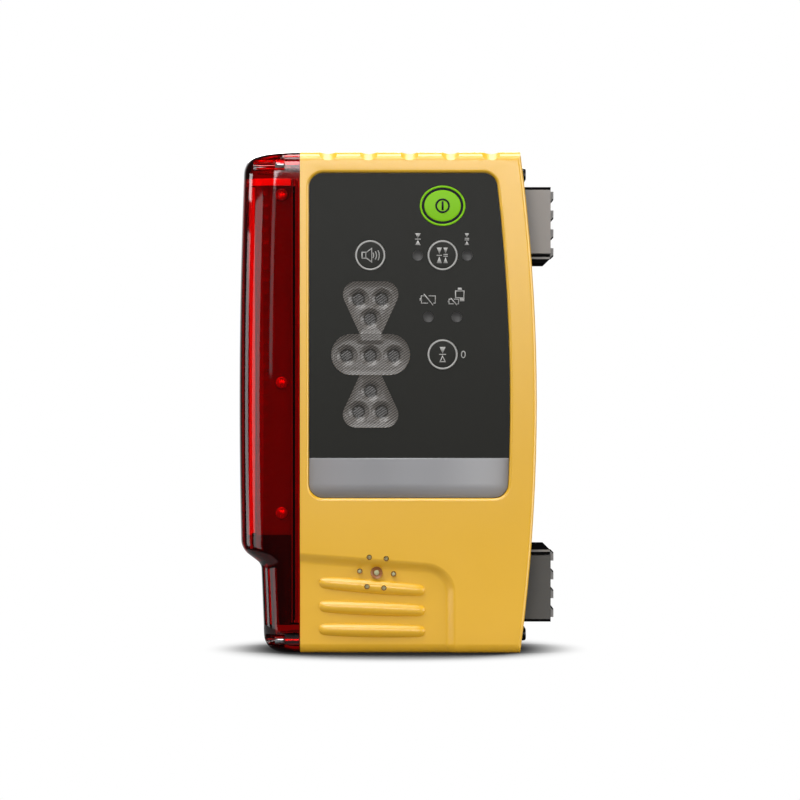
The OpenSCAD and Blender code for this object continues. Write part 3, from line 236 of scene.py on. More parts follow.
def casing_plastic():
    """The casing's yellow, coarser on the top behind its front edge, where a hand takes hold."""
    material = grained("casing_yellow", srgb(230, 177, 32), rough=0.31, tone=0.05, grain=1900.0,
                       specular_ior_level=1.0)
    tree = material.node_tree
    rough = tree.nodes["Principled BSDF"].inputs["Roughness"]
    place = add_node(tree, "SeparateXYZ", Vector=add_node(tree, "TexCoord").outputs["Object"])
    high = remap(tree, place.outputs["Z"], *GRIP_HEIGHTS)
    behind = remap(tree, place.outputs["Y"], *GRIP_DEPTHS)
    coarse = compute(tree, "MULTIPLY", compute(tree, "MULTIPLY", high, behind), GRIP_ROUGH)
    tree.links.new(compute(tree, "MAXIMUM", rough.links[0].from_socket, coarse), rough)
    return material


casing_yellow = casing_plastic()
seal_rubber = grained("seal_rubber", srgb(22, 22, 22), rough=0.7, tone=0.2, grain=1400.0)
seal_grey = grained("seal_grey", srgb(108, 96, 92), rough=0.7, tone=0.2, grain=1400.0)
smooth_copy("front_shell", casing_yellow, "casing", "casing_yellow")
smooth_copy("rear_shell", casing_yellow, "casing", "casing_yellow")
dress(seal_rubber, "shell_seal", "door_seal")
dress(seal_grey, "window_seal")


# Front panel: a dark moulded plate pressed into its recess, with a grey band along its foot.
# The marks beside the lamps are screen-printed in pale ink, a few hundredths of a millimetre thick.

PANEL_FACE = -39.0
INK = 0.04


def stroke(path, width):
    """A ribbon of that width along a path of (x, z) points: each point moved both ways along its normal."""
    path = np.asarray(path, float)
    closed = np.allclose(path[0], path[-1])
    ring = path[:-1] if closed else path
    beyond = ring[:1] if closed else 2 * ring[-1:] - ring[-2:-1]
    ahead = np.diff(ring, axis=0, append=beyond)
    behind = np.roll(ahead, 1, 0) if closed else np.vstack([ahead[:1], ahead[:-1]])
    ahead, behind = (v / np.linalg.norm(v, axis=1)[:, None] for v in (ahead, behind))
    along = ahead + behind
    along /= np.linalg.norm(along, axis=1)[:, None]
    reach = width / 2 / np.maximum(np.sum(along * ahead, axis=1), 0.5)
    side = np.stack([-along[:, 1], along[:, 0]], 1) * reach[:, None]
    if closed:
        ring, side = np.vstack([ring, ring[:1]]), np.vstack([side, side[:1]])
    return np.stack([ring - side, ring + side])


def fill(outline):
    """A filled shape: straight lines from its middle to each point of its outline."""
    outline = np.asarray(outline, float)
    closed = np.vstack([outline, outline[:1]])
    return np.stack([np.broadcast_to(outline.mean(0), closed.shape), closed])


def arc(centre, radius, start, end, steps=40):
    """Points of a circular arc between two angles in degrees."""
    turn = np.radians(np.linspace(start, end, steps + 1))
    return np.array(centre) + np.array(radius) * np.stack([np.cos(turn), np.sin(turn)], 1)


def join_grids(*grids):
    """Points and quads of several grids of points, rows by columns by xyz, in millimetres."""
    points, faces, base = [], [], 0
    for grid in grids:
        rows, cols = grid.shape[:2]
        index = np.arange(rows * cols).reshape(rows, cols) + base
        quads = np.stack([index[:-1, :-1], index[:-1, 1:], index[1:, 1:], index[1:, :-1]], -1)
        faces.append(quads.reshape(-1, 4))
        points.append(grid.reshape(-1, 3))
        base += rows * cols
    return np.concatenate(points) * MM, np.concatenate(faces)


def grid_piece(name, grids, material, slot, body="casing", **finish):
    """A piece of joined grids, which rides on the casing unless another body is named."""
    return new_piece(name, *join_grids(*grids), material, body, slot, **finish)


def printed(name, shapes, face, material, body, slot):
    """Flat shapes of (x, z) grids laid on a plane that faces the front, with the ink's thickness."""
    grids = [np.insert(shape, 1, face - INK, axis=-1) for shape in shapes]
    piece = grid_piece(name, grids, material, slot, body, outward=False)
    work = bmesh.new()
    work.from_mesh(piece.data)
    bmesh.ops.reverse_faces(work, faces=[f for f in work.faces if f.normal.y > 0])
    work.to_mesh(piece.data)
    work.free()
    ink = piece.modifiers.new("ink_film", "SOLIDIFY")
    ink.thickness = INK * MM
    ink.offset = -1
    return piece


panel_dark = grained("panel_dark", srgb(29, 29, 25), rough=0.42, tone=0.1, grain=2600.0, spread=0.06,
                     raise_mm=0.012, specular_ior_level=0.2)
band_grey = grained("band_grey", srgb(150, 150, 153), rough=0.45, tone=0.04, grain=2600.0, raise_mm=0.012)
print_pale = grained("print_pale", srgb(164, 163, 160), rough=0.5, grain=3000.0, raise_mm=0.01)
dress(panel_dark, "front_overlay")

PANEL_LEFT, BAND_LOW, BAND_TOP, PANEL_CORNER = -43.95, 77.9, 97.7, 7.0
BOW_R, BOW_X, MID_Z = 931.45, -875.0, 125.5
BAND_ROWS, ROWS_CROWD = 60, 1.8
band_z = BAND_LOW + (BAND_TOP - BAND_LOW) * np.linspace(0.0, 1.0, BAND_ROWS) ** ROWS_CROWD
corner_drop = np.clip(PANEL_CORNER + BAND_LOW - band_z, 0.0, PANEL_CORNER)
corner_in = PANEL_CORNER - np.sqrt(PANEL_CORNER ** 2 - corner_drop ** 2)
band_right = BOW_X + np.sqrt(BOW_R ** 2 - (band_z - MID_Z) ** 2)
band = np.stack([
    np.stack([PANEL_LEFT + corner_in, band_z], 1),
    np.stack([band_right - corner_in, band_z], 1)])
printed("panel_band", [band], PANEL_FACE, band_grey, "casing", "lens_grey")


def grade_pair(x, z, half, rise, tips, lines):
    """Two triangles tip to tip over one or two level lines."""
    down = fill([(x - half, z + rise), (x + half, z + rise), (x, z + tips)])
    up = fill([(x, z - tips), (x + half, z - rise), (x - half, z - rise)])
    bars = [stroke([(x - half, z + h), (x + half, z + h)], 0.45) for h in lines]
    return [down, up, *bars]


def crossed_cell(x, z, w, h):
    """A battery outline with a terminal at its left, broken by a slanting bar."""
    left, right, low, top = x - w / 2, x + w / 2, z - h / 2, z + h / 2
    return [
        stroke([(x - w * 0.3, top), (left, top), (left, low), (x - w * 0.02, low)], 0.42),
        stroke([(x + w * 0.02, top), (right, top), (right, low), (x + w * 0.36, low)], 0.42),
        stroke([(left - w * 0.06, z - h * 0.18), (left - w * 0.06, z + h * 0.18)], w * 0.12),
        stroke([(x - w * 0.32, top + h * 0.28), (x + w * 0.34, low - h * 0.28)], 0.48)]


remote = [
    stroke([(29.3, 177.9), (33.5, 177.9), (33.5, 181.3), (29.3, 181.3), (29.3, 177.9)], 0.5),
    fill([(30.4, 181.3), (32.4, 181.3), (32.4, 182.9), (30.4, 182.9)]),
    fill([(31.4, 176.1), (33.7, 176.1), (33.7, 177.9), (31.4, 177.9)])]
zero_label = [stroke(arc((33.2, 149.5), (0.95, 1.6), 0, 360), 0.5)]
printed("panel_marks", [
    *grade_pair(10.45, 207.2, 1.4, 2.95, 0.5, [0.0]),
    *grade_pair(34.95, 207.2, 1.1, 2.95, 0.9, [0.4, -0.4]),
    *crossed_cell(15.65, 177.0, 7.0, 3.6), *crossed_cell(28.4, 176.0, 4.8, 2.3), *remote, *zero_label],
    PANEL_FACE, print_pale, "casing", "lens_grey")


# Keys: four caps on the rubber mat, which travel under a millimetre. Three are dark round caps
# with a printed ring and sign. The power key is a bright green oval with a sunk dark ring.

def polar(centre, rings, steps=96):
    """Oval rings about a centre in the front plane: each ring is (half width, half height, y)."""
    turn = np.linspace(0.0, 2 * np.pi, steps + 1)
    wide, high, y = np.moveaxis(np.asarray(rings, float)[:, None, :], -1, 0)
    x, z = centre[0] + wide * np.cos(turn), centre[1] + high * np.sin(turn)
    return np.stack(np.broadcast_arrays(x, y, z), -1)


KEY_FACE, KEY_BACK, KEY_R, KEY_EDGE, RING_IN, RING_LINE = -39.25, -33.7, 7.7, 0.3, 0.62, 0.85
key_dark = grained("key_dark", srgb(29, 29, 25), rough=0.4, tone=0.1, grain=2600.0, spread=0.06,
                   raise_mm=0.012, specular_ior_level=0.2)
ink_dark = grained("ink_dark", srgb(24, 24, 32), rough=0.5, tone=0.08, grain=2600.0, raise_mm=0.01,
                   specular_ior_level=0.15)
key_green = grained("key_green", srgb(126, 192, 24), rough=0.36, tone=0.05, grain=2400.0, raise_mm=0.012,
                    specular_ior_level=0.15)


def round_cap(name, centre, body, node, marks):
    """A flat round cap with a softened edge, its printed ring and its sign."""
    ease = np.linspace(0.0, np.pi / 2, 7)
    front = [(0, 0, KEY_FACE), (KEY_R / 2, KEY_R / 2, KEY_FACE)]
    edge = [(KEY_R - KEY_EDGE * (1 - s), KEY_R - KEY_EDGE * (1 - s), KEY_FACE + KEY_EDGE * (1 - c))
            for s, c in zip(np.sin(ease), np.cos(ease))]
    back = [(KEY_R, KEY_R, KEY_BACK), (0, 0, KEY_BACK)]
    cap = grid_piece(name + "_cap", [polar(centre, front + edge + back)], key_dark, "key_dark", body)
    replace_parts(cap, node)
    ring = stroke(arc(centre, KEY_R - RING_IN, 0, 360, 96), RING_LINE)
    printed(name + "_marks", [ring, *marks], KEY_FACE, print_pale, body, "key_dark")


SOUND, PRECISION, ZERO = (-13.4, 199.1), (22.8, 199.1), (22.8, 149.5)
speaker_box = [(-17.5, 197.65), (-17.5, 200.65), (-15.6, 200.65), (-15.6, 197.65), (-17.5, 197.65)]
speaker_horn = [(-15.6, 200.4), (-12.65, 202.6), (-12.65, 195.7), (-15.6, 197.9)]
sound_waves = [arc((-14.2, 199.1), r, -a, a, 16) for r, a in ((2.5, 33), (3.9, 31), (5.3, 28))]
round_cap("sound_key", SOUND, "sound_key", "sound_button", [
    stroke(speaker_box, 0.5), stroke(speaker_horn, 0.5), *(stroke(wave, 0.45) for wave in sound_waves)])
round_cap("precision_key", PRECISION, "precision_key", "precision_button", [
    *grade_pair(21.15, 199.1, 1.3, 3.9, 0.55, [0.0]),
    *grade_pair(24.3, 199.1, 1.1, 3.9, 0.95, [0.45, -0.45])])
round_cap("zero_key", ZERO, "zero_key", "zero_button", [
    fill([(21.3, 153.3), (24.3, 153.3), (22.8, 150.0)]),
    stroke([(21.1, 149.55), (24.5, 149.55)], 0.48),
    stroke([(22.8, 148.7), (24.1, 145.9), (21.5, 145.9), (22.8, 148.7)], 0.5)])

POWER = (22.8, 223.9)
POWER_W, POWER_H, RING_W, GROOVE_W, POWER_SWELL = 11.4, 10.1, 1.0, 1.25, 0.3
GROOVE_FLOOR, CAP_IN, CAP_EASE, CAP_RINGS = -38.95, RING_W + GROOVE_W, 0.25, 16
RIM_PROFILE = [(0, KEY_BACK), (0, -39.05), (0.12, -39.22), (0.35, -39.3), (0.65, -39.3), (0.88, -39.22),
               (RING_W, -39.05), (RING_W, KEY_BACK), (0, KEY_BACK)]
GROOVE_PROFILE = [(RING_W, GROOVE_FLOOR), (CAP_IN, GROOVE_FLOOR), (CAP_IN, KEY_BACK), (RING_W, KEY_BACK),
                  (RING_W, GROOVE_FLOOR)]
CAP_PROFILE = [(CAP_IN, KEY_BACK), (CAP_IN, PANEL_FACE), (CAP_IN + 0.07, -39.18)]


def ovals(profile):
    """Rings of the power key, each inset from its rim and at its own depth."""
    return [(POWER_W - inset, POWER_H - inset, y) for inset, y in profile]


def power_piece(name, rings, material, slot):
    """A part of the power key: its oval rings joined, riding on the key."""
    return grid_piece(name, [polar(POWER, rings)], material, slot, "power_key")


inward = 1 - np.linspace(0.0, 1.0, CAP_RINGS)
cap_w, cap_h, cap_y = ovals([(CAP_IN + CAP_EASE, KEY_FACE)])[0]
crown = np.stack([cap_w * inward, cap_h * inward, cap_y - POWER_SWELL * (1 - inward ** 2)], 1)
power_cap = power_piece("power_cap", [(0, 0, KEY_BACK), *ovals(CAP_PROFILE), *crown], key_green, "key_green")
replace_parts(power_cap, "power_button")
power_piece("power_groove", ovals(GROOVE_PROFILE), ink_dark, "key_dark")
power_piece("power_rim", ovals(RIM_PROFILE), key_green, "key_green")
power_sign = [stroke(arc(POWER, 3.2, 0, 360, 64), 0.95),
              stroke([(POWER[0], POWER[1] - 2.2), (POWER[0], POWER[1] + 2.2)], 1.05)]
printed("power_sign", power_sign, KEY_FACE - POWER_SWELL, ink_dark, "power_key", "key_dark")


# Grade display: three grey prismatic windows, dished over the lamps behind them, and four
# small round lamp windows. Clear tinted plastic, cross-hatched so that the lamps spread.

def soft_loop(corners, radii, steps=14):
    """A closed outline: each corner gives way to an arc that touches both of its sides."""
    corners, radii = np.asarray(corners, float), np.asarray(radii, float)[:, None]
    back, ahead = np.roll(corners, 1, 0) - corners, np.roll(corners, -1, 0) - corners
    back, ahead = (v / np.linalg.norm(v, axis=1)[:, None] for v in (back, ahead))
    half = np.arccos(np.clip(np.sum(back * ahead, axis=1), -1, 1))[:, None] / 2
    middle = back + ahead
    centre = corners + middle / np.linalg.norm(middle, axis=1)[:, None] * radii / np.sin(half)
    first = corners + back * radii / np.tan(half) - centre
    last = corners + ahead * radii / np.tan(half) - centre
    sweep, part = np.pi - 2 * half[:, None], np.linspace(0.0, 1.0, steps + 1)[None, :, None]
    turned = np.sin((1 - part) * sweep) * first[:, None] + np.sin(part * sweep) * last[:, None]
    return (centre[:, None] + turned / np.sin(sweep)).reshape(-1, 2)


def even_steps(path, count):
    """A path's points at even distances along it."""
    gone = np.concatenate([[0.0], np.cumsum(np.linalg.norm(np.diff(path, axis=0), axis=1))])
    place = np.linspace(0.0, gone[-1], count)
    return np.stack([np.interp(place, gone, path[:, k]) for k in (0, 1)], 1)


def soft_step(value, low, high):
    """Zero below one limit, one above the other, and an S-shaped rise between."""
    part = np.clip((value - low) / (high - low), 0.0, 1.0)
    return part * part * (3 - 2 * part)


DISPLAY_X, DISPLAY_Z, LEVEL_W, LEVEL_H = -13.2, 149.5, 39.4, 20.5
ARROW_NEAR, ARROW_FAR, ARROW_TIP, ARROW_WIDE = LEVEL_H / 2 + 0.02, LEVEL_H / 2 + 26.3, 5.45, 17.55
LENS_FACE, LENS_BACK, LENS_DISH, RIM_W, SOFT_CREASE = -39.2, -36.5, 0.7, 4.2, 50
LAMP_FLAT, LAMP_R, LAMP_DEEP, LAMP_SHADE = 2.5, 5.6, 1.45, (0.6, 1.0)
RING_SHARES = np.concatenate([np.linspace(0.0, 0.9, 70), np.linspace(0.91, 0.99, 12), [1.0]])
LAMP_SPOTS = DISPLAY_X + np.array([-6.1, 5.5, -0.2, -12.0, -0.2, 11.6, 0.0, -6.1, 5.5]), np.array(
    [177.2, 177.3, 167.4, 149.0, 149.0, 149.0, 131.2, 120.9, 120.9])
middle_of_display = np.array([DISPLAY_X, DISPLAY_Z])
arrow = soft_loop([(-ARROW_TIP, ARROW_NEAR), (ARROW_TIP, ARROW_NEAR), (ARROW_WIDE, ARROW_FAR),
                   (-ARROW_WIDE, ARROW_FAR)], [0.05, 0.05, 6.5, 6.5])
level = soft_loop([(-LEVEL_W / 2, -LEVEL_H / 2), (LEVEL_W / 2, -LEVEL_H / 2), (LEVEL_W / 2, LEVEL_H / 2),
                   (-LEVEL_W / 2, LEVEL_H / 2)], [LEVEL_H / 2 - 0.01] * 4, steps=24)
display_rims = [even_steps(np.vstack([loop, loop[:1]]), 151) + middle_of_display
                for loop in (arrow, level, -arrow)]
rim_from = np.concatenate([rim[:-1] for rim in display_rims])
rim_to = np.concatenate([rim[1:] for rim in display_rims])
NECK_DROP, NECK_WIDE, NECK_TALL = 2.0, (4.0, 7.5), (1.0, 3.4)


def lamp_nearness(x, z):
    """How far a point lies within the nearest lamp's dimple: one over the lamp, zero at its edge."""
    gap = np.hypot(x[..., None] - LAMP_SPOTS[0], z[..., None] - LAMP_SPOTS[1]).min(-1)
    return 1 - soft_step(gap, LAMP_FLAT, LAMP_R)


def rim_gap(x, z):
    """The distance to the nearest of the three windows' rims: the nearest foot on any rim line."""
    along = rim_to - rim_from
    away = np.stack([x, z], -1)[..., None, :] - rim_from
    part = np.clip(np.sum(away * along, -1) / np.sum(along ** 2, -1), 0.0, 1.0)[..., None]
    return np.linalg.norm(away - part * along, axis=-1).min(-1)


def neck_fill(x, z):
    """One over the upper neck, where the face stays as high as the rim, falling in an S to zero around it."""
    across_neck = 1 - soft_step(np.abs(x - DISPLAY_X), *NECK_WIDE)
    up_neck = 1 - soft_step(np.abs(z - DISPLAY_Z - LEVEL_H / 2 + NECK_DROP), *NECK_TALL)
    return across_neck * up_neck


def lens_grid(outline):
    """Rings drawn in from the outline: a bowl under the rim, dimpled over each lamp, then wall and back.
    The bowl's depth is one less the square of what is left of the rim's width."""
    ring = even_steps(np.vstack([outline, outline[:1]]), 241)
    middle = ring[:-1].mean(0)
    flat = middle + RING_SHARES[:, None, None] * (ring - middle)
    x, z = flat[..., 0], flat[..., 1]
    bowl = (1 - (1 - np.clip(rim_gap(x, z) / RIM_W, 0.0, 1.0)) ** 2) * (1 - neck_fill(x, z))
    y = LENS_FACE + LENS_DISH * bowl + LAMP_DEEP * lamp_nearness(x, z)
    front = np.stack([x, y, z], -1)
    wall = np.stack([ring[:, 0], np.full(len(ring), LENS_BACK), ring[:, 1]], 1)[None]
    hub = np.broadcast_to(np.array([middle[0], LENS_BACK, middle[1]]), wall.shape)
    return np.concatenate([front, wall, hub])


HATCH_TURN, HATCH_SCALE, HATCH_WEAK, HATCH_MM = 0.62, 285.0, 0.3, 0.07
HATCH_PAINTED_LIGHT, LAMP_PAINTED_SHADE = (0.15, 1.85), 0.32


def prism_lens():
    """Grey tinted plastic with two crossed sets of fine grooves in its bump. Its colour is lighter and darker
    along the grooves, which is painted highlight and shade of the prism facets, and darker over the lamps,
    which is painted shade.
    """
    material = grained("prism_lens", srgb(100, 96, 92), rough=0.25, tone=0.1, grain=1500.0, raise_mm=HATCH_MM)
    tree = material.node_tree
    skin, bump = (next(n for n in tree.nodes if n.type == kind) for kind in ("GROUP", "BUMP"))
    place = add_node(tree, "TexCoord").outputs["Object"]
    sets = []
    for turn, share in ((HATCH_TURN, 1.0), (-HATCH_TURN, HATCH_WEAK)):
        turned = add_node(tree, "Mapping", Vector=place, Rotation=(0.0, turn, 0.0))
        waves = add_node(tree, "TexWave", Vector=turned.outputs[0], wave_profile="TRI",
                         bands_direction="Z", Scale=HATCH_SCALE)
        sets.append(compute(tree, "MULTIPLY", waves.outputs["Fac"], share))
    both = compute(tree, "ADD", *sets)
    tree.links.new(both, bump.inputs["Height"])
    # Darker over the lamps: painted shade of the dark room behind the lens.
    lamp = add_node(tree, "Attribute", attribute_name="lamp").outputs["Fac"]
    darker = remap(tree, lamp, 0.0, 1.0, 1.0, LAMP_PAINTED_SHADE)
    # Lighter and darker along the grooves: painted highlight and shade of the prism facets.
    groove = remap(tree, both, 0.0, 1.5, *HATCH_PAINTED_LIGHT)
    depth = compute(tree, "MULTIPLY", darker, groove)
    tinted = compute(tree, "SCALE", skin.outputs["Color"], depth, kind="VectorMath")
    tree.links.new(tinted, tree.nodes["Principled BSDF"].inputs["Base Color"])
    return material


lens_grey = prism_lens()


def lens_piece(node, outline):
    """A display window with the painted shade over its lamps stored on its points; it replaces the plain CAD
    one.
    """
    piece = grid_piece(node + "_prism", [lens_grid(outline)], lens_grey, "lens_grey", crease=SOFT_CREASE)
    place = np.empty(len(piece.data.vertices) * 3)
    piece.data.vertices.foreach_get("co", place)
    place = place.reshape(-1, 3) / MM
    shade = piece.data.attributes.new("lamp", "FLOAT", "POINT")
    shade.data.foreach_set("value", soft_step(lamp_nearness(place[:, 0], place[:, 2]), *LAMP_SHADE))
    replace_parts(piece, node)


lens_piece("grade_lens_high", arrow + middle_of_display)
lens_piece("grade_lens_level", level + middle_of_display)
lens_piece("grade_lens_low", middle_of_display - arrow)

STATUS_R, STATUS_EDGE, STATUS_DISH = 2.6, -39.1, 0.5
STATUS_SPOTS = ((10.4, 199.1), (35.2, 199.1), (15.7, 168.3), (29.9, 168.3))
status_grey = grained("status_grey", srgb(57, 56, 55), rough=0.45, tone=0.08, grain=1800.0, raise_mm=0.012)
reach = np.linspace(0.0, 1.0, 14)
dish = np.stack([STATUS_R * reach, STATUS_R * reach, STATUS_EDGE + STATUS_DISH * (1 - reach ** 2)], 1)
status_rings = np.vstack([dish, [(STATUS_R, STATUS_R, LENS_BACK), (0, 0, LENS_BACK)]])
status_grids = [polar(spot, status_rings, 48) for spot in STATUS_SPOTS]
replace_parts(grid_piece("status_dishes", status_grids, status_grey, "lens_grey"), "status_lenses")


# Sound holes: six small ports round a larger one. Each has a dished brown ring round its middle, whose brown
# is painted shade on the hole's wall, and a crowned disc of pale vent cloth closes the ring's middle.

HOLE, HOLE_R, PORT_R, PORT_RING, PORT_TURN, SHADE_RING_FIT = (-10.2, 40.4), 3.0, 1.35, 8.5, -4.5, 0.03
CLOTH_CROWN, CLOTH_BACK, SHADE_RING_BACK, VENT_STEPS = 0.25, 0.9, 0.8, 36
PORT_CLOTH, HOLE_CLOTH = (0.95, -39.15), (1.25, -39.25)
PORT_SHADE_RING, HOLE_SHADE_RING = (0.93, PORT_R - SHADE_RING_FIT, -38.8, -39.35), (1.2, HOLE_R - SHADE_RING_FIT, -38.6, -39.45)
vent_cloth = grained("vent_cloth", srgb(176, 174, 132), rough=0.75, tone=0.15, grain=2600.0, raise_mm=0.03)
# The rings' brown is painted shade: the yellow wall of each hole in its own shadow.
brown_hole_shade = grained("brown_hole_shade", srgb(150, 92, 40), rough=0.45, tone=0.1)


def vent_disc(centre, radius, face):
    """A shallow crowned disc: rings whose height falls as the square of their radius."""
    part = np.linspace(0.0, 1.0, 8)
    back = face + CLOTH_BACK
    rings = np.stack([radius * part, radius * part, face + CLOTH_CROWN * part ** 2], 1)
    return polar(centre, np.vstack([rings, [(radius, radius, back), (0, 0, back)]]), VENT_STEPS)


def vent_rim(centre, inner, outer, low, high):
    """A dished ring round a disc: from its inner edge to its outer one it rises as one less a cosine."""
    rise = np.linspace(0.0, 1.0, 7)
    radius = inner + (outer - inner) * rise
    back = low + SHADE_RING_BACK
    rings = np.stack([radius, radius, low + (high - low) * (1 - np.cos(rise * np.pi / 2))], 1)
    ends = [(outer, outer, back), (inner, inner, back), rings[0]]
    return polar(centre, np.vstack([rings, ends]), VENT_STEPS)


port_turn = np.radians(PORT_TURN + 60.0 * np.arange(6))
ports = np.array(HOLE) + PORT_RING * np.stack([np.cos(port_turn), np.sin(port_turn)], 1)
cloths = [*(vent_disc(port, *PORT_CLOTH) for port in ports), vent_disc(HOLE, *HOLE_CLOTH)]
shade_rings = [*(vent_rim(port, *PORT_SHADE_RING) for port in ports), vent_rim(HOLE, *HOLE_SHADE_RING)]
grid_piece("vent_ports", cloths, vent_cloth, "lamp_white")
grid_piece("vent_rims", shade_rings, brown_hole_shade, "casing_yellow")


# Sensor window: one clear red moulding, hollow, with a narrow foot under a shoulder. Its flange
# bears on a cord seal along the casing, and four screws in open pockets hold it from the side.

WINDOW_SEAM, WINDOW_X, WINDOW_DEEP, WINDOW_WALL, CASE_H, END_R = -48.45, -78.8, 37.5, 3.0, 251.0, 5.0
HOLLOW_LOW, HOLLOW_TOP, FLANGE_IN, FLANGE_DEEP = 14.0, 237.8, -53.0, 31.0
WAIST, FOOT_R, SIDE_R, FOOT_BLEND, CORNER_SHARE = (44.4, 51.8), 12.0, 18.0, (42.0, 58.0), 0.9
WINDOW_OUTLINE = [(60.0, 125.0), (WINDOW_SEAM, 0.0), (-66.6, 0.0), (-68.4, WAIST[0]), (WINDOW_X, WAIST[1]),
                  (WINDOW_X, 250.7), (WINDOW_SEAM, CASE_H)]
OUTLINE_R, CORNER_STEPS, TOP_END = [0.01, 0.01, 9.0, 5.0, 9.0, 10.0, 0.01], 14, (-50.5, 250.97)
PART_STEPS, BOW_CROWN, SIDE_BOW_R = (8, 22, 7), 0.8, 2900.0


def level_cut(x_left, depth, radius, right):
    """Half of a level cut, front to middle: straight from the seam, round the corner, then along the side."""
    straight = np.linspace(0.0, 1.0, PART_STEPS[0])
    turn = np.linspace(0.0, np.pi / 2, PART_STEPS[1])
    side = np.linspace(1.0, 0.0, PART_STEPS[2])
    x_left, depth, radius = x_left[:, None], depth[:, None], radius[:, None]
    along = np.stack(np.broadcast_arrays(right + straight * (x_left + radius - right), -depth), -1)
    corner = np.stack([x_left + radius - radius * np.sin(turn), -depth + radius - radius * np.cos(turn)], -1)
    flat = np.stack(np.broadcast_arrays(x_left, -side * (depth - radius)), -1)
    return np.concatenate([along, corner[:, 1:], flat[:, 1:]], 1)


def both_halves(half, z):
    """A half cut and its mirror image across the depth, as one row of points at each height."""
    flat = np.concatenate([half, half[:, -2::-1] * (1, -1)], 1)
    return np.stack([flat[..., 0], flat[..., 1], np.broadcast_to(z[:, None], flat.shape[:2])], -1)


def across(half, z, parts):
    """A flat end: each point of a half cut carried over to its mirror image, in the given parts."""
    parts = np.asarray(parts)[:, None]
    return np.stack(np.broadcast_arrays(half[:, 0], half[:, 1] * parts, z), -1)


corner = CORNER_STEPS + 1
rounded = soft_loop(WINDOW_OUTLINE, OUTLINE_R, CORNER_STEPS)[2 * corner:-corner]
run_out = np.linspace(rounded[-1], TOP_END, 8)
edge = even_steps(np.vstack([rounded, run_out[1:]]), 301)
edge_z = np.unique(np.concatenate([edge[:, 1], [HOLLOW_LOW, HOLLOW_TOP]]))
plain_x = np.interp(edge_z, edge[:, 1], edge[:, 0])
bow = BOW_CROWN - (edge_z - MID_Z) ** 2 / (2 * SIDE_BOW_R)
out_share = np.clip((WINDOW_SEAM - plain_x) / (WINDOW_SEAM - plain_x.min()), 0.0, 1.0)
edge_x = plain_x - bow * soft_step(edge_z, *WAIST) * out_share
from_end = np.clip(np.minimum(edge_z, CASE_H - edge_z), 0.0, END_R)
edge_deep = WINDOW_DEEP - END_R + np.sqrt(END_R ** 2 - (END_R - from_end) ** 2)
plan_r = FOOT_R + (SIDE_R - FOOT_R) * soft_step(edge_z, *FOOT_BLEND)
outer_r = np.minimum(plan_r, CORNER_SHARE * (WINDOW_SEAM - edge_x))
outer_half = level_cut(edge_x, edge_deep, outer_r, WINDOW_SEAM)


def hollow_half(rows, inset, right):
    """Half cuts of the hollow at some heights: the plain outline less the wall and a further inset."""
    wall = WINDOW_WALL + inset
    deep = np.full(rows.sum(), WINDOW_DEEP - wall)
    return level_cut(plain_x[rows] + wall, deep, plan_r[rows] - wall, right)


hollow = (edge_z >= HOLLOW_LOW) & (edge_z <= HOLLOW_TOP)
flange = np.array([(WINDOW_SEAM, -FLANGE_DEEP), (FLANGE_IN, -FLANGE_DEEP)])
flange = np.broadcast_to(flange, (hollow.sum(), 2, 2))
inner_half = np.concatenate([flange, hollow_half(hollow, 0.0, FLANGE_IN)], 1)
seam_front = np.stack(np.broadcast_arrays(WINDOW_SEAM, -edge_deep, edge_z), -1)
hole_front = np.stack(np.broadcast_arrays(WINDOW_SEAM, -FLANGE_DEEP, edge_z), -1)
mirror = np.array([1, -1, 1])
seam_face = np.stack([seam_front, hole_front])
hole_sides = [hole_front[rows] for rows in (edge_z <= HOLLOW_LOW, edge_z >= HOLLOW_TOP)]
end_parts = [[1, FLANGE_DEEP / deep, -FLANGE_DEEP / deep, -1] for deep in edge_deep[[0, -1]]]
window_grids = [
    both_halves(outer_half, edge_z), both_halves(inner_half, edge_z[hollow]),
    *(across(outer_half[end], edge_z[end], end_parts[end]) for end in (0, -1)),
    across(inner_half[0], HOLLOW_LOW, [1, -1]), across(inner_half[-1], HOLLOW_TOP, [1, -1]),
    seam_face, seam_face * mirror, *(np.stack([side, side * mirror]) for side in hole_sides)]

SCREW_Y, SCREW_Z, POCKET_R, POCKET_OUT, POCKET_SEAT, POCKET_OPEN = 31.9, (6.2, 244.8), 3.1, -72.2, -56.2, 48.0


def carried(loop, axis, start, end):
    """An outline carried straight along an axis, x, y or z as 0, 1 or 2, and closed at both ends."""
    ring = np.vstack([loop, loop[:1]])
    hub = np.broadcast_to(loop.mean(0), ring.shape)
    rows = ((hub, start), (ring, start), (ring, end), (hub, end))
    return np.stack([np.insert(flat, axis, place, axis=1) for flat, place in rows])


def pocket(side, z):
    """A slot cutter along the screw's axis: a half round and two straight sides, open to the outside."""
    turn = np.linspace(-np.pi / 2, np.pi / 2, 25)
    y = np.concatenate([SCREW_Y - POCKET_R * np.cos(turn), [POCKET_OPEN, POCKET_OPEN]])
    up = np.concatenate([POCKET_R * np.sin(turn), [POCKET_R, -POCKET_R]]) + z
    return carried(np.stack([y * side, up], 1), 0, POCKET_OUT, POCKET_SEAT)


def cut_away(piece, cutter, crease):
    """Takes one closed piece out of another for good, and marks its sharp edges again."""
    cut = piece.modifiers.new("cut", "BOOLEAN")
    cut.operation, cut.solver, cut.object = "DIFFERENCE", "EXACT", cutter
    mesh = bpy.data.meshes.new_from_object(piece.evaluated_get(bpy.context.evaluated_depsgraph_get()))
    piece.modifiers.clear()
    piece.data = mesh
    bpy.data.objects.remove(cutter)
    work = bmesh.new()
    work.from_mesh(mesh)
    for edge in work.edges:
        edge.smooth = edge.calc_face_angle(0.0) < math.radians(crease)
    work.to_mesh(mesh)
    work.free()


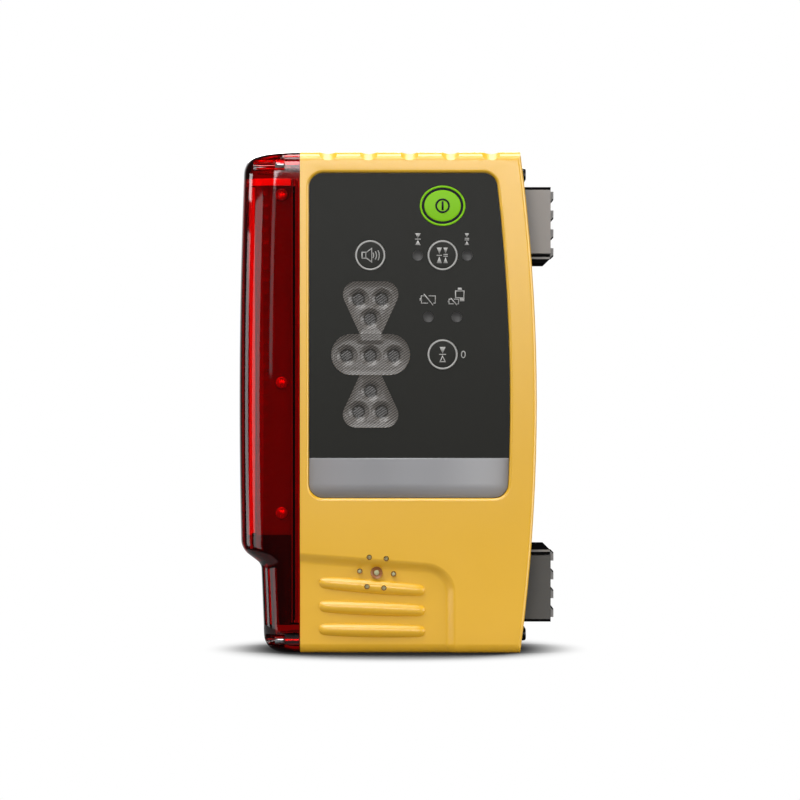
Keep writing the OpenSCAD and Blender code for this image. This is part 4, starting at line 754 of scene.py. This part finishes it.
def mix_shaders(tree, factor, first, second):
    """Sends a mix of two shaders to the material's surface."""
    blend = add_node(tree, "MixShader")
    for socket, value in zip(blend.inputs, (factor, first, second)):
        tree.links.new(value, socket)
    tree.links.new(blend.outputs[0], tree.nodes["Material Output"].inputs["Surface"])


WINDOW_DYE, WALL_SLANT, WALL_PAINTED_SHADE = (0.97, 0.004, 0.006), (0.27, 0.43), 0.1


def clear_red():
    """Dyed glass-clear plastic, with a red-lit shadow: darker where it is thick, and darker at a slant along
    its wall, partly for the longer way through the dye and partly as painted shade.
    """
    material = new_material("window_red", roughness=0.03, ior=1.5, transmission_weight=1.0)
    tree = material.node_tree
    shader = tree.nodes["Principled BSDF"]
    # Seen at a slant the dye is darkened: partly the longer way through the wall, partly painted shade.
    slant = add_node(tree, "LayerWeight", Blend=0.5).outputs["Facing"]
    deep = remap(tree, slant, *WALL_SLANT, 1.0, WALL_PAINTED_SHADE)
    tree.links.new(compute(tree, "SCALE", WINDOW_DYE, deep, kind="VectorMath"), shader.inputs["Base Color"])
    body = add_node(tree, "VolumeAbsorption", Color=(0.75, 0.0, 0.0, 1), Density=100.0)
    tree.links.new(body.outputs[0], tree.nodes["Material Output"].inputs["Volume"])
    stain = add_node(tree, "BsdfTransparent", Color=(0.96, 0.04, 0.04, 1))
    in_shadow = add_node(tree, "LightPath").outputs["Is Shadow Ray"]
    mix_shaders(tree, in_shadow, shader.outputs[0], stain.outputs[0])
    return material


WINDOW_CREASE = 35
window_red = clear_red()
window = grid_piece("sensor_window_shell", window_grids, window_red, "window_red", crease=WINDOW_CREASE)
pocket_grids = [pocket(side, z) for side in (-1, 1) for z in SCREW_Z]
pockets = grid_piece("pocket_cutter", pocket_grids, window_red, "window_red")
cut_away(window, pockets, WINDOW_CREASE)
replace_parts(window, "sensor_window")


# Pieces behind the window: a pale pad over the sensor, which is painted light standing in for light that
# comes down through the window's top, pale pads along its front and rear edges, which are painted light
# standing in for the glow along the window's edge, and a dark sleeve in the foot.
# Bedding strips and a pale bead are laid behind the window's flange.

PAD_LOW, PAD_TOP, PAD_GAP = 234.3, 237.78, 0.3
pad_inset = np.full(2, WINDOW_WALL + PAD_GAP)
pad_half = level_cut(WINDOW_X + pad_inset, WINDOW_DEEP - pad_inset, SIDE_R - pad_inset, FLANGE_IN - PAD_GAP)
pad_grids = [both_halves(pad_half, np.array([PAD_LOW, PAD_TOP])), across(pad_half[0], PAD_LOW, [1, -1]),
             across(pad_half[1], PAD_TOP, [1, -1])]
# The pale pad stands in for light coming down through the window's top: painted light.
pale_pad_painted_light = grained("pale_pad_painted_light", srgb(236, 232, 224), rough=0.8, tone=0.1, grain=1500.0, raise_mm=0.05)
grid_piece("sensor_top_pad", pad_grids, pale_pad_painted_light, "seal_rubber", crease=SOFT_CREASE)

SLEEVE_TOP, SLEEVE_SKINS, SLEEVE_END, SLEEVE_LIFT = 58.8, (0.25, 0.7), -53.3, 0.1
in_foot = (edge_z >= HOLLOW_LOW) & (edge_z <= SLEEVE_TOP)
skins = np.stack([both_halves(hollow_half(in_foot, inset, SLEEVE_END), edge_z[in_foot] + SLEEVE_LIFT)
                  for inset in SLEEVE_SKINS])
sleeve_ends = [skins[:, end] for end in (0, -1)] + [skins[:, :, end] for end in (0, -1)]
sleeve_dark = grained("sleeve_dark", srgb(9, 7, 7), rough=0.6, tone=0.2, grain=1400.0, specular_ior_level=0.2)
grid_piece("foot_sleeve", [*skins, *sleeve_ends], sleeve_dark, "part_black", crease=SOFT_CREASE)


def soft_bar(left, right, low, top, radius):
    """A rectangle's outline with rounded corners."""
    return soft_loop([(left, low), (right, low), (right, top), (left, top)], [radius] * 4, steps=5)


def both_sides(loop, low, top):
    """A plan outline carried up between two heights, at the front and mirrored at the rear."""
    return [carried(loop * (1, side), 2, low, top) for side in (1, -1)]


BED_FRONT, BED_BACK, BED_LOW, BED_TOP, BED_R = -30.95, -30.2, 15.0, 237.0, 0.15


def bedding(left, right):
    """A strip laid behind the window's flange on both sides, between two places across the width."""
    return both_sides(soft_bar(left, right, BED_FRONT, BED_BACK, BED_R), BED_LOW, BED_TOP)


# The edge pads are pale so that, lit through the red wall, they show the glow along the window's edge:
# painted light.
EDGE_GLOW_PAD, EDGE_PAD_ENDS = soft_bar(-72.1, -70.7, -28.4, -26.2, 0.4), (60.0, 233.6)
bed_brown = grained("bed_brown", srgb(122, 98, 92), rough=0.7, tone=0.25, grain=900.0)
bed_pale = grained("bed_pale", srgb(255, 224, 150), rough=0.6, tone=0.1, grain=900.0)
for name, grids, finish, slot in (
        ("sensor_edge_pads", both_sides(EDGE_GLOW_PAD, *EDGE_PAD_ENDS), pale_board_and_glow_pads, "board_green"),
        ("window_bedding", bedding(-52.95, -52.35) + bedding(-51.1, -49.55), bed_brown, "seal_rubber"),
        ("window_seam_bead", bedding(-49.4, -48.5), bed_pale, "seal_rubber")):
    grid_piece(name, grids, finish, slot, crease=SOFT_CREASE)


# Screws of the sensor and its window: zinc-plated pan heads with a slot hold the sensor's boards,
# and four long turned steel screws in the window's pockets clamp it to the casing.

HEAD_X, HEAD_Z, HEAD_R, HEAD_H, BOARD_FACE, HEAD_RINGS = -58.0, (70.0, 135.5, 229.9), 2.95, 1.75, 28.5, 26
HEAD_DOME, SLOT_X, SLOT_HALF, SLOT_DEEP, SLOT_END = 0.6, 0.2, (0.55, 0.75), 1.5, (0.72, 0.8)
METAL_CREASE, SCREW_STEPS = 40, 40


def slotted_head(side, z):
    """A pan head on the sensor's board: a dome as the root of one less the radius squared, over a
    straight rim, with a slot sunk across it."""
    part = np.linspace(0.0, 1.0, HEAD_RINGS)
    rise = HEAD_H * (1 - HEAD_DOME + HEAD_DOME * np.sqrt(1 - part ** 2))
    dome = np.stack([HEAD_R * part, HEAD_R * part, -BOARD_FACE - rise], 1)
    foot = [(HEAD_R, HEAD_R, -BOARD_FACE), (0, 0, -BOARD_FACE)]
    grid = polar((HEAD_X, z), np.vstack([dome, foot]), 96)
    in_slot = 1 - soft_step(np.abs(grid[:HEAD_RINGS, :, 0] - HEAD_X + SLOT_X), *SLOT_HALF)
    grid[:HEAD_RINGS, :, 1] += SLOT_DEEP * in_slot * (1 - soft_step(part, *SLOT_END))[:, None]
    return grid * (1, -side, 1)


head_zinc = grained("head_zinc", srgb(222, 217, 210), rough=0.28, tone=0.1, grain=2400.0, metallic=0.75)
head_grids = [slotted_head(side, z) for side in (-1, 1) for z in HEAD_Z]
sensor_heads = grid_piece("sensor_screw_heads", head_grids, head_zinc, "screw_steel", crease=METAL_CREASE)
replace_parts(sensor_heads, "sensor_screws")


def turned(axis, centre, profile, steps):
    """A turned shape on an axis along x or z, 0 or 2: each profile point (place, radius) carried round it."""
    turn = np.linspace(0.0, 2 * np.pi, steps + 1)
    place, radius = np.asarray(profile, float).T[..., None]
    flat = np.stack([centre[0] + radius * np.cos(turn), centre[1] + radius * np.sin(turn)], -1)
    return np.insert(flat, axis, np.broadcast_to(place, flat.shape[:2]), axis=-1)


WINDOW_SCREW = [(-60.0, 0.0), (-60.0, 1.1), (-61.2, 1.25), (-61.3, 1.9), (-61.15, 2.3), (-60.7, 2.5),
                (-56.6, 2.5), (-56.25, 2.35), (-56.2, 1.5), (-40.5, 1.5), (-40.2, 1.2), (-40.2, 0.0)]
screw_grids = [turned(0, (side * SCREW_Y, z), WINDOW_SCREW, SCREW_STEPS) for side in (-1, 1) for z in SCREW_Z]
window_screws = grid_piece("window_screws_turned", screw_grids, screw_steel, "screw_steel")
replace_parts(window_screws, "window_screws")


# Side plate and magnets: a flat steel plate sunk in the bulged side on four black screws. It carries
# two magnet packs, each a row of pole bars in a painted yoke on a black carrier. The lower yoke's darker grey
# is painted shade.
# A rubber strip and a steel rail close each pack's inner end; the rail's pale line is a painted highlight on
# the bevel's edge.
# Black fillets under the bars' chamfers are painted shade.

plate_grey = grained("plate_grey", srgb(92, 92, 94), rough=0.4, tone=0.12, grain=1800.0)
carrier_black = grained("carrier_black", srgb(16, 16, 17), rough=0.6, tone=0.15, grain=2000.0,
                        specular_ior_level=0.0)
yoke_grey = grained("yoke_grey", srgb(150, 146, 143), rough=0.5, tone=0.14, grain=1600.0, spread=0.15)
# The lower pack's yoke is a darker copy of the same grey: painted shade, where less light falls.
yoke_grey_shaded = grained("yoke_grey_shaded", srgb(80, 79, 77), rough=0.5, tone=0.14, grain=1600.0, spread=0.15)
pole_steel = grained("pole_steel", srgb(140, 138, 136), rough=0.45, tone=0.14, grain=2600.0, spread=0.2,
                     raise_mm=0.01, specular_ior_level=0.3)
magnet_dark = grained("magnet_dark", srgb(40, 40, 42), rough=0.45, tone=0.2, grain=1500.0)
screw_black = grained("screw_black", srgb(14, 14, 15), rough=0.18, tone=0.15, grain=2600.0, raise_mm=0.006)
dress(plate_grey, "side_plate")
for end, yoke_look in (("upper", yoke_grey), ("lower", yoke_grey_shaded)):
    dress(carrier_black, "magnet_carrier_" + end)
    dress(yoke_look, "magnet_yoke_" + end)
    dress(pole_steel, "pole_bars_" + end)
    dress(magnet_dark, "magnet_blocks_" + end)

MOUNT_MID, MOUNT_HALF, MOUNT_LEFT, MOUNT_RIGHT, STRIP_R = 124.55, 22.12, 64.0, 77.2, 0.25
POLE_TOPS, POLE_X, POLE_H, POLE_CUT, POLE_HALF = (231.95, 222.45, 212.95, 203.45), 79.0, 4.4, 1.1, 19.6
SHADE_FILLET_R = 0.12
GAP_SEAL = soft_bar(MOUNT_LEFT, MOUNT_RIGHT, 198.95, 200.3, STRIP_R)
# The foot rail is a pale strip on the line where the bevel's edge highlight shows: painted highlight.
FOOT_HIGHLIGHT_RAIL = soft_bar(MOUNT_LEFT, MOUNT_RIGHT, 197.85, 198.9, STRIP_R)


def both_packs(loop, half):
    """A profile of (x, z) carried across the depth in the upper pack, and mirrored in the lower one."""
    flipped = np.stack([loop[:, 0], 2 * MOUNT_MID - loop[:, 1]], 1)
    return [carried(profile, 1, -half, half) for profile in (loop, flipped)]


def pole_shade_fillet(top):
    """A soft black wedge under a pole bar's chamfered edge: painted shade on the chamfer."""
    low = top - POLE_H
    wedge = np.array([(-POLE_CUT, 0.02), (-0.05, 0.1), (-0.02, POLE_CUT + 0.1)])
    return soft_loop(wedge + (POLE_X, low), [SHADE_FILLET_R] * 3, steps=5)


# The gap strips are dark joints; the black wedges under the chamfers added to them are painted shade.
seal_and_shade_grids = both_packs(GAP_SEAL, MOUNT_HALF)
for top in POLE_TOPS:
    seal_and_shade_grids += both_packs(pole_shade_fillet(top), POLE_HALF)
highlight_rail_grids = both_packs(FOOT_HIGHLIGHT_RAIL, MOUNT_HALF)
grid_piece("mount_gap_seals_and_shade_fillets", seal_and_shade_grids, carrier_black, "part_black", crease=METAL_CREASE)
grid_piece("mount_foot_highlight_rails", highlight_rail_grids, pole_steel, "pole_steel", crease=METAL_CREASE)

PLATE_SCREW = [(64.2, 0.0), (64.2, 1.5), (65.3, 1.65), (65.4, 2.2), (65.25, 2.8), (64.8, 3.2), (64.4, 3.3),
               (62.9, 3.3), (62.6, 3.1), (62.6, 2.0), (58.3, 2.0), (58.2, 0.0)]
PLATE_Y, PLATE_Z = (-8.0, 8.0), (7.9, 241.2)
plate_grids = [turned(0, (y, z), PLATE_SCREW, SCREW_STEPS) for y in PLATE_Y for z in PLATE_Z]
plate_screws = grid_piece("plate_screws_turned", plate_grids, screw_black, "screw_black")
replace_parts(plate_screws, "plate_screws")


# Battery room: a moulded tray behind the door, with four cells in two rows between leaf springs
# and plated contacts. The springs and contacts are pressed from bright spring strip.

tray_black = grained("tray_black", srgb(34, 34, 35), rough=0.5, tone=0.15, grain=1600.0)
contact_steel = grained("contact_steel", srgb(205, 203, 196), rough=0.24, tone=0.08, grain=2600.0,
                        spread=0.15, raise_mm=0.006, metallic=1.0)
cell_wrap = grained("cell_wrap", srgb(38, 62, 66), rough=0.3, tone=0.1, grain=1400.0, raise_mm=0.008)
wrap_band = grained("wrap_band", srgb(178, 112, 56), rough=0.28, tone=0.1, grain=1400.0, raise_mm=0.008,
                    metallic=0.5)
dress(tray_black, "battery_tray")
dress(contact_steel, "contact_springs", "contact_plates", "door_hinge_pin")

CELL_R, CELL_L, CELL_Y, TRAY_Z, NUB_R, CAN_R, BAND_FROM = 13.1, 50.0, 19.9, 122.0, 2.8, 9.0, 36.0
CELL_ROWS = ((-8.7, 1), (18.7, -1))
CELL_FEET, CELL_STEPS = (76.15, 126.35), 48
WRAP = [(0.3, CAN_R), (0.05, 9.6), (0.0, 11.4), (0.25, 12.6), (0.8, CELL_R), (BAND_FROM, CELL_R),
        (BAND_FROM, CAN_R), (0.3, CAN_R)]
BAND = [(BAND_FROM, CAN_R), (BAND_FROM, CELL_R), (47.4, CELL_R), (48.1, 12.7), (48.4, 11.6), (48.2, 10.2),
        (47.9, CAN_R), (BAND_FROM, CAN_R)]
CAN = [(0.4, 0.0), (0.4, CAN_R - 0.05), (47.6, CAN_R - 0.05), (47.7, 3.4), (48.3, NUB_R + 0.2), (49.6, NUB_R),
       (CELL_L, 2.4), (CELL_L, 0.0)]


def cell(x, way, foot, profile):
    """One cell's turned shape on its foot height, upwards or mirrored about the tray's middle height."""
    profile = [(TRAY_Z + way * (foot + height - TRAY_Z), radius) for height, radius in profile]
    return turned(2, (x, CELL_Y), profile, CELL_STEPS)


def cell_set(name, profile, material, slot):
    """The same turned shape for all four cells; the second row stands upside down."""
    grids = [cell(x, way, foot, profile) for x, way in CELL_ROWS for foot in CELL_FEET]
    return grid_piece(name, grids, material, slot)


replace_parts(cell_set("cell_wraps", WRAP, cell_wrap, "cell_wrap"), "battery_cells")
cell_set("cell_bands", BAND, wrap_band, "cell_wrap")
cell_set("cell_caps", CAN, contact_steel, "contact_steel")


# Battery door: a flat plate of the casing's plastic on a steel hinge pin, with a soft seal under it.
# A dark knob with a finger bar sits in a cup and screws into a brass insert in the casing.

knob_dark = grained("knob_dark", srgb(30, 30, 31), rough=0.42, tone=0.15, grain=1900.0)
insert_brass = grained("insert_brass", srgb(196, 158, 84), rough=0.28, tone=0.1, grain=2600.0, raise_mm=0.006,
                       metallic=1.0)
smooth_copy("battery_door", casing_yellow, "door", "casing_yellow")
smooth_copy("door_knob", knob_dark, "knob", "part_black")
dress(insert_brass, "knob_insert")


# Studio: a small pale floor on a white ground, which keeps a soft shadow under the casing. Soft boxes light
# it from above, the front, the right and behind, and strips at the left give the window its gloss.
# The room is white to the camera, and dark to the object except straight behind it.

def area_light(name, place, target, size, power):
    """A soft box of that width and height, in metres, aimed at a point and hidden from the camera."""
    light = bpy.data.lights.new(name, "AREA")
    light.shape = "RECTANGLE"
    light.size, light.size_y = size
    light.energy = power
    lamp = bpy.data.objects.new(name, light)
    bpy.context.scene.collection.objects.link(lamp)
    aim = np.array(target) - np.array(place)
    lamp.location = place
    lamp.rotation_euler = (math.acos(-aim[2] / np.linalg.norm(aim)), 0, math.atan2(-aim[0], aim[1]))
    lamp.visible_camera = False
    return lamp


MIDDLE = (0.0, 0.0, 0.125)


def ring_place(azimuth, distance, height, about=(0.0, 0.0)):
    """A point round another in plan: azimuth in degrees from the front, to the left."""
    turn = math.radians(azimuth)
    return (about[0] - distance * math.sin(turn), about[1] - distance * math.cos(turn), height)


area_light("key_box", (-0.4, -0.55, 1.0), MIDDLE, (1.1, 0.4), 10.0)
area_light("veil_box", (0.0, -1.4, 0.42), MIDDLE, (0.9, 0.2), 5.5)
WINDOW_CORNER = (-0.071, -0.032)
window_aim = (*WINDOW_CORNER, 0.125)
area_light("left_strip", ring_place(64, 1.1, 0.094, WINDOW_CORNER), window_aim, (0.55, 0.45), 1.5)
area_light("edge_strip", ring_place(104, 1.1, 0.079, WINDOW_CORNER), window_aim, (0.3, 0.418), 1.0)
area_light("edge_spark", ring_place(104, 1.1, 0.339, WINDOW_CORNER), window_aim, (0.3, 0.043), 0.26)
area_light("front_card", (-0.397, -1.5, 0.237), (-0.062, -0.037, 0.19), (0.25, 0.173), 0.13)
area_light("right_strip", ring_place(-72, 1.2, 0.25), MIDDLE, (0.85, 0.8), 9.5)
area_light("top_box", (0.0, -0.1, 1.1), MIDDLE, (0.4, 0.4), 5.0)
area_light("rear_box", (0.0, 1.3, 0.75), MIDDLE, (0.9, 0.5), 12.0)

FLOOR_R, FLOOR_SIDES, SHADOW_REACH, SHADOW_HALF, MIRROR_LOSS = 0.2, 96, 0.1, (0.1, 0.13), 0.65
SHADOW_OPEN, SHADOW_DARK, SHADOW_FADE = (0.59, 0.99), 0.98, (0.6, 1.0)
floor_edge = np.insert(arc((0.0, 0.0), FLOOR_R, 0, 360, FLOOR_SIDES)[:-1], 2, 0.0, axis=1)
floor_mesh = bpy.data.meshes.new("floor")
floor_mesh.from_pydata(floor_edge.tolist(), [], [list(range(FLOOR_SIDES))])
floor = bpy.data.objects.new("floor", floor_mesh)
bpy.context.scene.collection.objects.link(floor)


def floor_paint():
    """White to the camera and dimmer to rays that the object mirrors, less a shadow where the object
    shelters the floor. The camera sees that shadow only within an oval round the object."""
    material = bpy.data.materials.new("floor_white")
    material.use_nodes = True
    tree = material.node_tree
    tree.nodes.remove(tree.nodes["Principled BSDF"])
    ray = add_node(tree, "LightPath").outputs
    open_sky = add_node(tree, "AmbientOcclusion", samples=16, Distance=SHADOW_REACH).outputs["AO"]
    shade = remap(tree, open_sky, *SHADOW_OPEN, SHADOW_DARK, 0.0, soft=True)
    place = add_node(tree, "TexCoord").outputs["Object"]
    per_half = (1 / SHADOW_HALF[0], 1 / SHADOW_HALF[1], 0.0)
    scaled = compute(tree, "MULTIPLY", place, per_half, kind="VectorMath")
    span = compute(tree, "LENGTH", scaled, kind="VectorMath")
    inside = remap(tree, span, *SHADOW_FADE, 1.0, 0.0, soft=True)
    mirrored = compute(tree, "SUBTRACT", 1.0, ray["Is Camera Ray"])
    dark = compute(tree, "MULTIPLY", shade, compute(tree, "MAXIMUM", inside, mirrored))
    least = compute(tree, "MAXIMUM", dark, compute(tree, "MULTIPLY", mirrored, MIRROR_LOSS))
    glow = add_node(tree, "Emission", Strength=compute(tree, "SUBTRACT", 1.0, least))
    looked = compute(tree, "MAXIMUM", ray["Is Camera Ray"], ray["Is Transmission Ray"])
    shown = compute(tree, "MAXIMUM", looked, ray["Is Glossy Ray"])
    matte = add_node(tree, "BsdfDiffuse", Color=(0.4, 0.4, 0.4, 1))
    mix_shaders(tree, shown, matte.outputs[0], glow.outputs[0])
    return material


floor_mesh.materials.append(floor_paint())

WALL_FROM, WALL_FULL, ROOM_LIGHT = 0.74, 0.97, 0.03
world = bpy.data.worlds.new("studio")
bpy.context.scene.world = world
world.use_nodes = True
tree = world.node_tree
way = add_node(tree, "SeparateXYZ", Vector=add_node(tree, "TexCoord").outputs["Generated"])
wall = remap(tree, way.outputs["Y"], WALL_FROM, WALL_FULL, ROOM_LIGHT, 1.0, soft=True)
camera_ray = add_node(tree, "LightPath").outputs["Is Camera Ray"]
tree.links.new(compute(tree, "MAXIMUM", camera_ray, wall), tree.nodes["Background"].inputs["Strength"])
tree.nodes["Background"].inputs["Color"].default_value = (1, 1, 1, 1)


# Camera: straight on to the front face, level with mid height, on a long lens.
# Its frame is 0.4 m wide at the front face.

FACE_Y, FRAME_W, SENSOR_W, CAMERA_GAP, CAMERA_X, CAMERA_Z = -0.04, 0.4, 36.0, 2.0, 0.0015, 0.12675
eye = bpy.data.cameras.new("eye")
eye.sensor_width = SENSOR_W
eye.lens = SENSOR_W * CAMERA_GAP / FRAME_W
eye.clip_end = 60
camera = bpy.data.objects.new("eye", eye)
bpy.context.scene.collection.objects.link(camera)
camera.location = (CAMERA_X, FACE_Y - CAMERA_GAP, CAMERA_Z)
camera.rotation_euler = (math.pi / 2, 0, 0)
bpy.context.scene.camera = camera
bpy.context.scene.view_settings.view_transform = "Standard"
